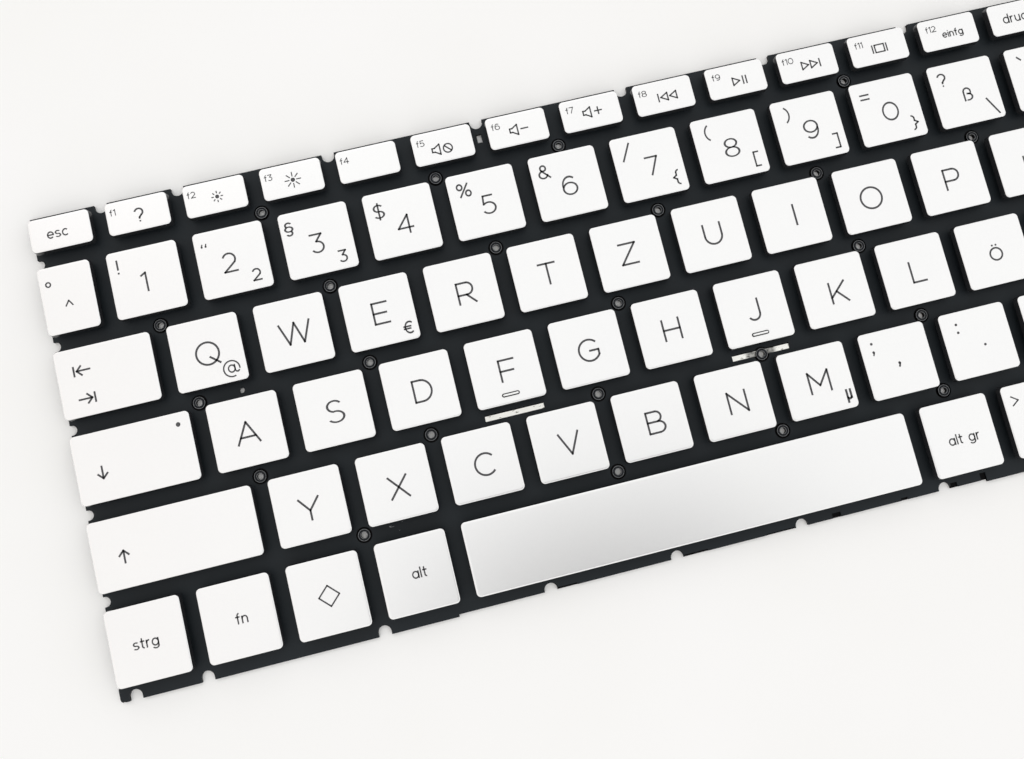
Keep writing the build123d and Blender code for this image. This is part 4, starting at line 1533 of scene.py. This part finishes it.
@dataclass
class Studio:
    """White card on a table, one large soft lamp over the back edge, a bright room, and the camera."""

    paper: Finish
    focal_pixels: float = 830.0
    image_width: float = 1024.0
    sensor: float = 36.0
    eye: tuple[float, float, float] = (-51.25, -23.495, 183.79)
    look: tuple[float, float, float] = (0.0551, 0.0933, -0.9941)
    right: tuple[float, float, float] = (0.9706, -0.2387, 0.0314)
    nearest: float = 10.0
    farthest: float = 20000.0
    card_size: float = 2400.0
    card_drop: float = 0.02
    room: str = "FFFFFF"
    warm_room: str = "FDF9F7"
    warm_side: tuple[float, float] = (-0.15, -0.5)
    shade: str = "303032"
    shade_side: tuple[float, float, float] = (0.1, -0.2, 0.0)
    shade_spread: tuple[float, float, float] = (0.5, 1.0, 0.0)
    shade_core: float = 0.02
    shade_edge: float = 0.18
    room_strength: float = 1.0
    lamp_power: float = 1.4
    lamp_size: float = 1500.0
    lamp_place: tuple[float, float, float] = (-250.0, 1300.0, 1100.0)

    def floor(self) -> None:
        """Lays the card under the keyboard."""
        mesh = bmesh.new()
        bmesh.ops.create_grid(mesh, x_segments=8, y_segments=8, size=self.card_size / 2 * MM)
        bmesh.ops.translate(mesh, vec=(0.0, 0.0, -self.card_drop * MM), verts=mesh.verts)
        card = bpy.data.objects.new("white_card", to_mesh(mesh, "white_card"))
        card.data.materials.append(self.paper.material())
        bpy.context.scene.collection.objects.link(card)

    def world(self) -> None:
        """Makes a bright even room, a little warmer on the left, with one soft dark patch overhead."""
        world = bpy.data.worlds.new("bright_room")
        bpy.context.scene.world = world
        world.use_nodes = True
        tree = world.node_tree
        tree.nodes.clear()
        way = add(tree, "ShaderNodeTexCoord").outputs["Generated"]
        parts = add(tree, "ShaderNodeSeparateXYZ", {0: way}).outputs
        warm = add(tree, "ShaderNodeMapRange", {
            "Value": parts["X"], "From Min": self.warm_side[0], "From Max": self.warm_side[1],
        })
        walls = blend_colours(tree, warm.outputs[0], linear(self.room), linear(self.warm_room))
        off = add(tree, "ShaderNodeVectorMath", {0: way, 1: self.shade_side}, operation="SUBTRACT")
        flat = add(tree, "ShaderNodeVectorMath", {0: off.outputs[0], 1: self.shade_spread},
                   operation="MULTIPLY")
        away = add(tree, "ShaderNodeVectorMath", {0: flat.outputs[0]}, operation="LENGTH")
        dark = add(tree, "ShaderNodeMapRange", {
            "Value": away.outputs["Value"], "From Min": self.shade_edge, "From Max": self.shade_core,
        }, interpolation_type="SMOOTHSTEP")
        colour = blend_colours(tree, dark.outputs[0], walls, linear(self.shade))
        light = add(tree, "ShaderNodeBackground", {"Color": colour, "Strength": self.room_strength})
        add(tree, "ShaderNodeOutputWorld", {"Surface": light.outputs[0]})

    def lamp(self) -> None:
        """Hangs a large soft lamp over the back edge."""
        data = bpy.data.lights.new("soft_lamp", "AREA")
        data.shape = "SQUARE"
        data.size = self.lamp_size * MM
        data.energy = self.lamp_power
        lamp = bpy.data.objects.new("soft_lamp", data)
        lamp.location = Vector(self.lamp_place) * MM
        lamp.rotation_euler = (-lamp.location).to_track_quat("-Z", "Y").to_euler()
        bpy.context.scene.collection.objects.link(lamp)

    def camera(self) -> None:
        """Sets the camera where the photograph was taken from."""
        data = bpy.data.cameras.new("camera")
        data.sensor_fit = "HORIZONTAL"
        data.sensor_width = self.sensor
        data.lens = self.focal_pixels / self.image_width * self.sensor
        data.clip_start = self.nearest * MM
        data.clip_end = self.farthest * MM
        back = -Vector(self.look).normalized()
        side = Vector(self.right)
        side = (side - back * side.dot(back)).normalized()
        up = back.cross(side)
        turn = Matrix((side, up, back)).transposed().to_4x4()
        camera = bpy.data.objects.new("camera", data)
        camera.matrix_world = Matrix.Translation(Vector(self.eye) * MM) @ turn
        bpy.context.scene.collection.objects.link(camera)
        bpy.context.scene.camera = camera

    def build(self) -> None:
        """Sets up the whole studio."""
        bpy.context.scene.view_settings.view_transform = "Standard"
        self.floor()
        self.world()
        self.lamp()
        self.camera()


def main() -> None:
    """Builds every sub-assembly in order and notes the sizes."""
    logging.basicConfig(level=logging.INFO, format="%(name)s: %(message)s")
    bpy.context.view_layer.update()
    keys = KeyField()
    LOG.info("keys within %.4f mm of the solids", keys.worst_departure())
    Deck(keys).dress()
    # Painted shade: the dark outline round the homing bars.
    bar_outline_shade = SoftBlack("black_abs_painted_shade", "0E0E0F", "161617", roughness=0.4, index=1.5)
    Keycaps(keys, SilverPaint(), bar_outline_shade).build()
    Legends(keys, PadInk()).build()
    rubber = SoftBlack("silicone_rubber", "141414", "1E1E1E", roughness=0.6, index=1.41)
    acetal = SoftBlack("moulded_acetal", "121213", "1B1B1D", roughness=0.4, index=1.48)
    Mechanisms(keys, rubber, acetal, SpringWire()).build()
    Studio(Paper()).build()


if __name__ == "__main__":
    main()
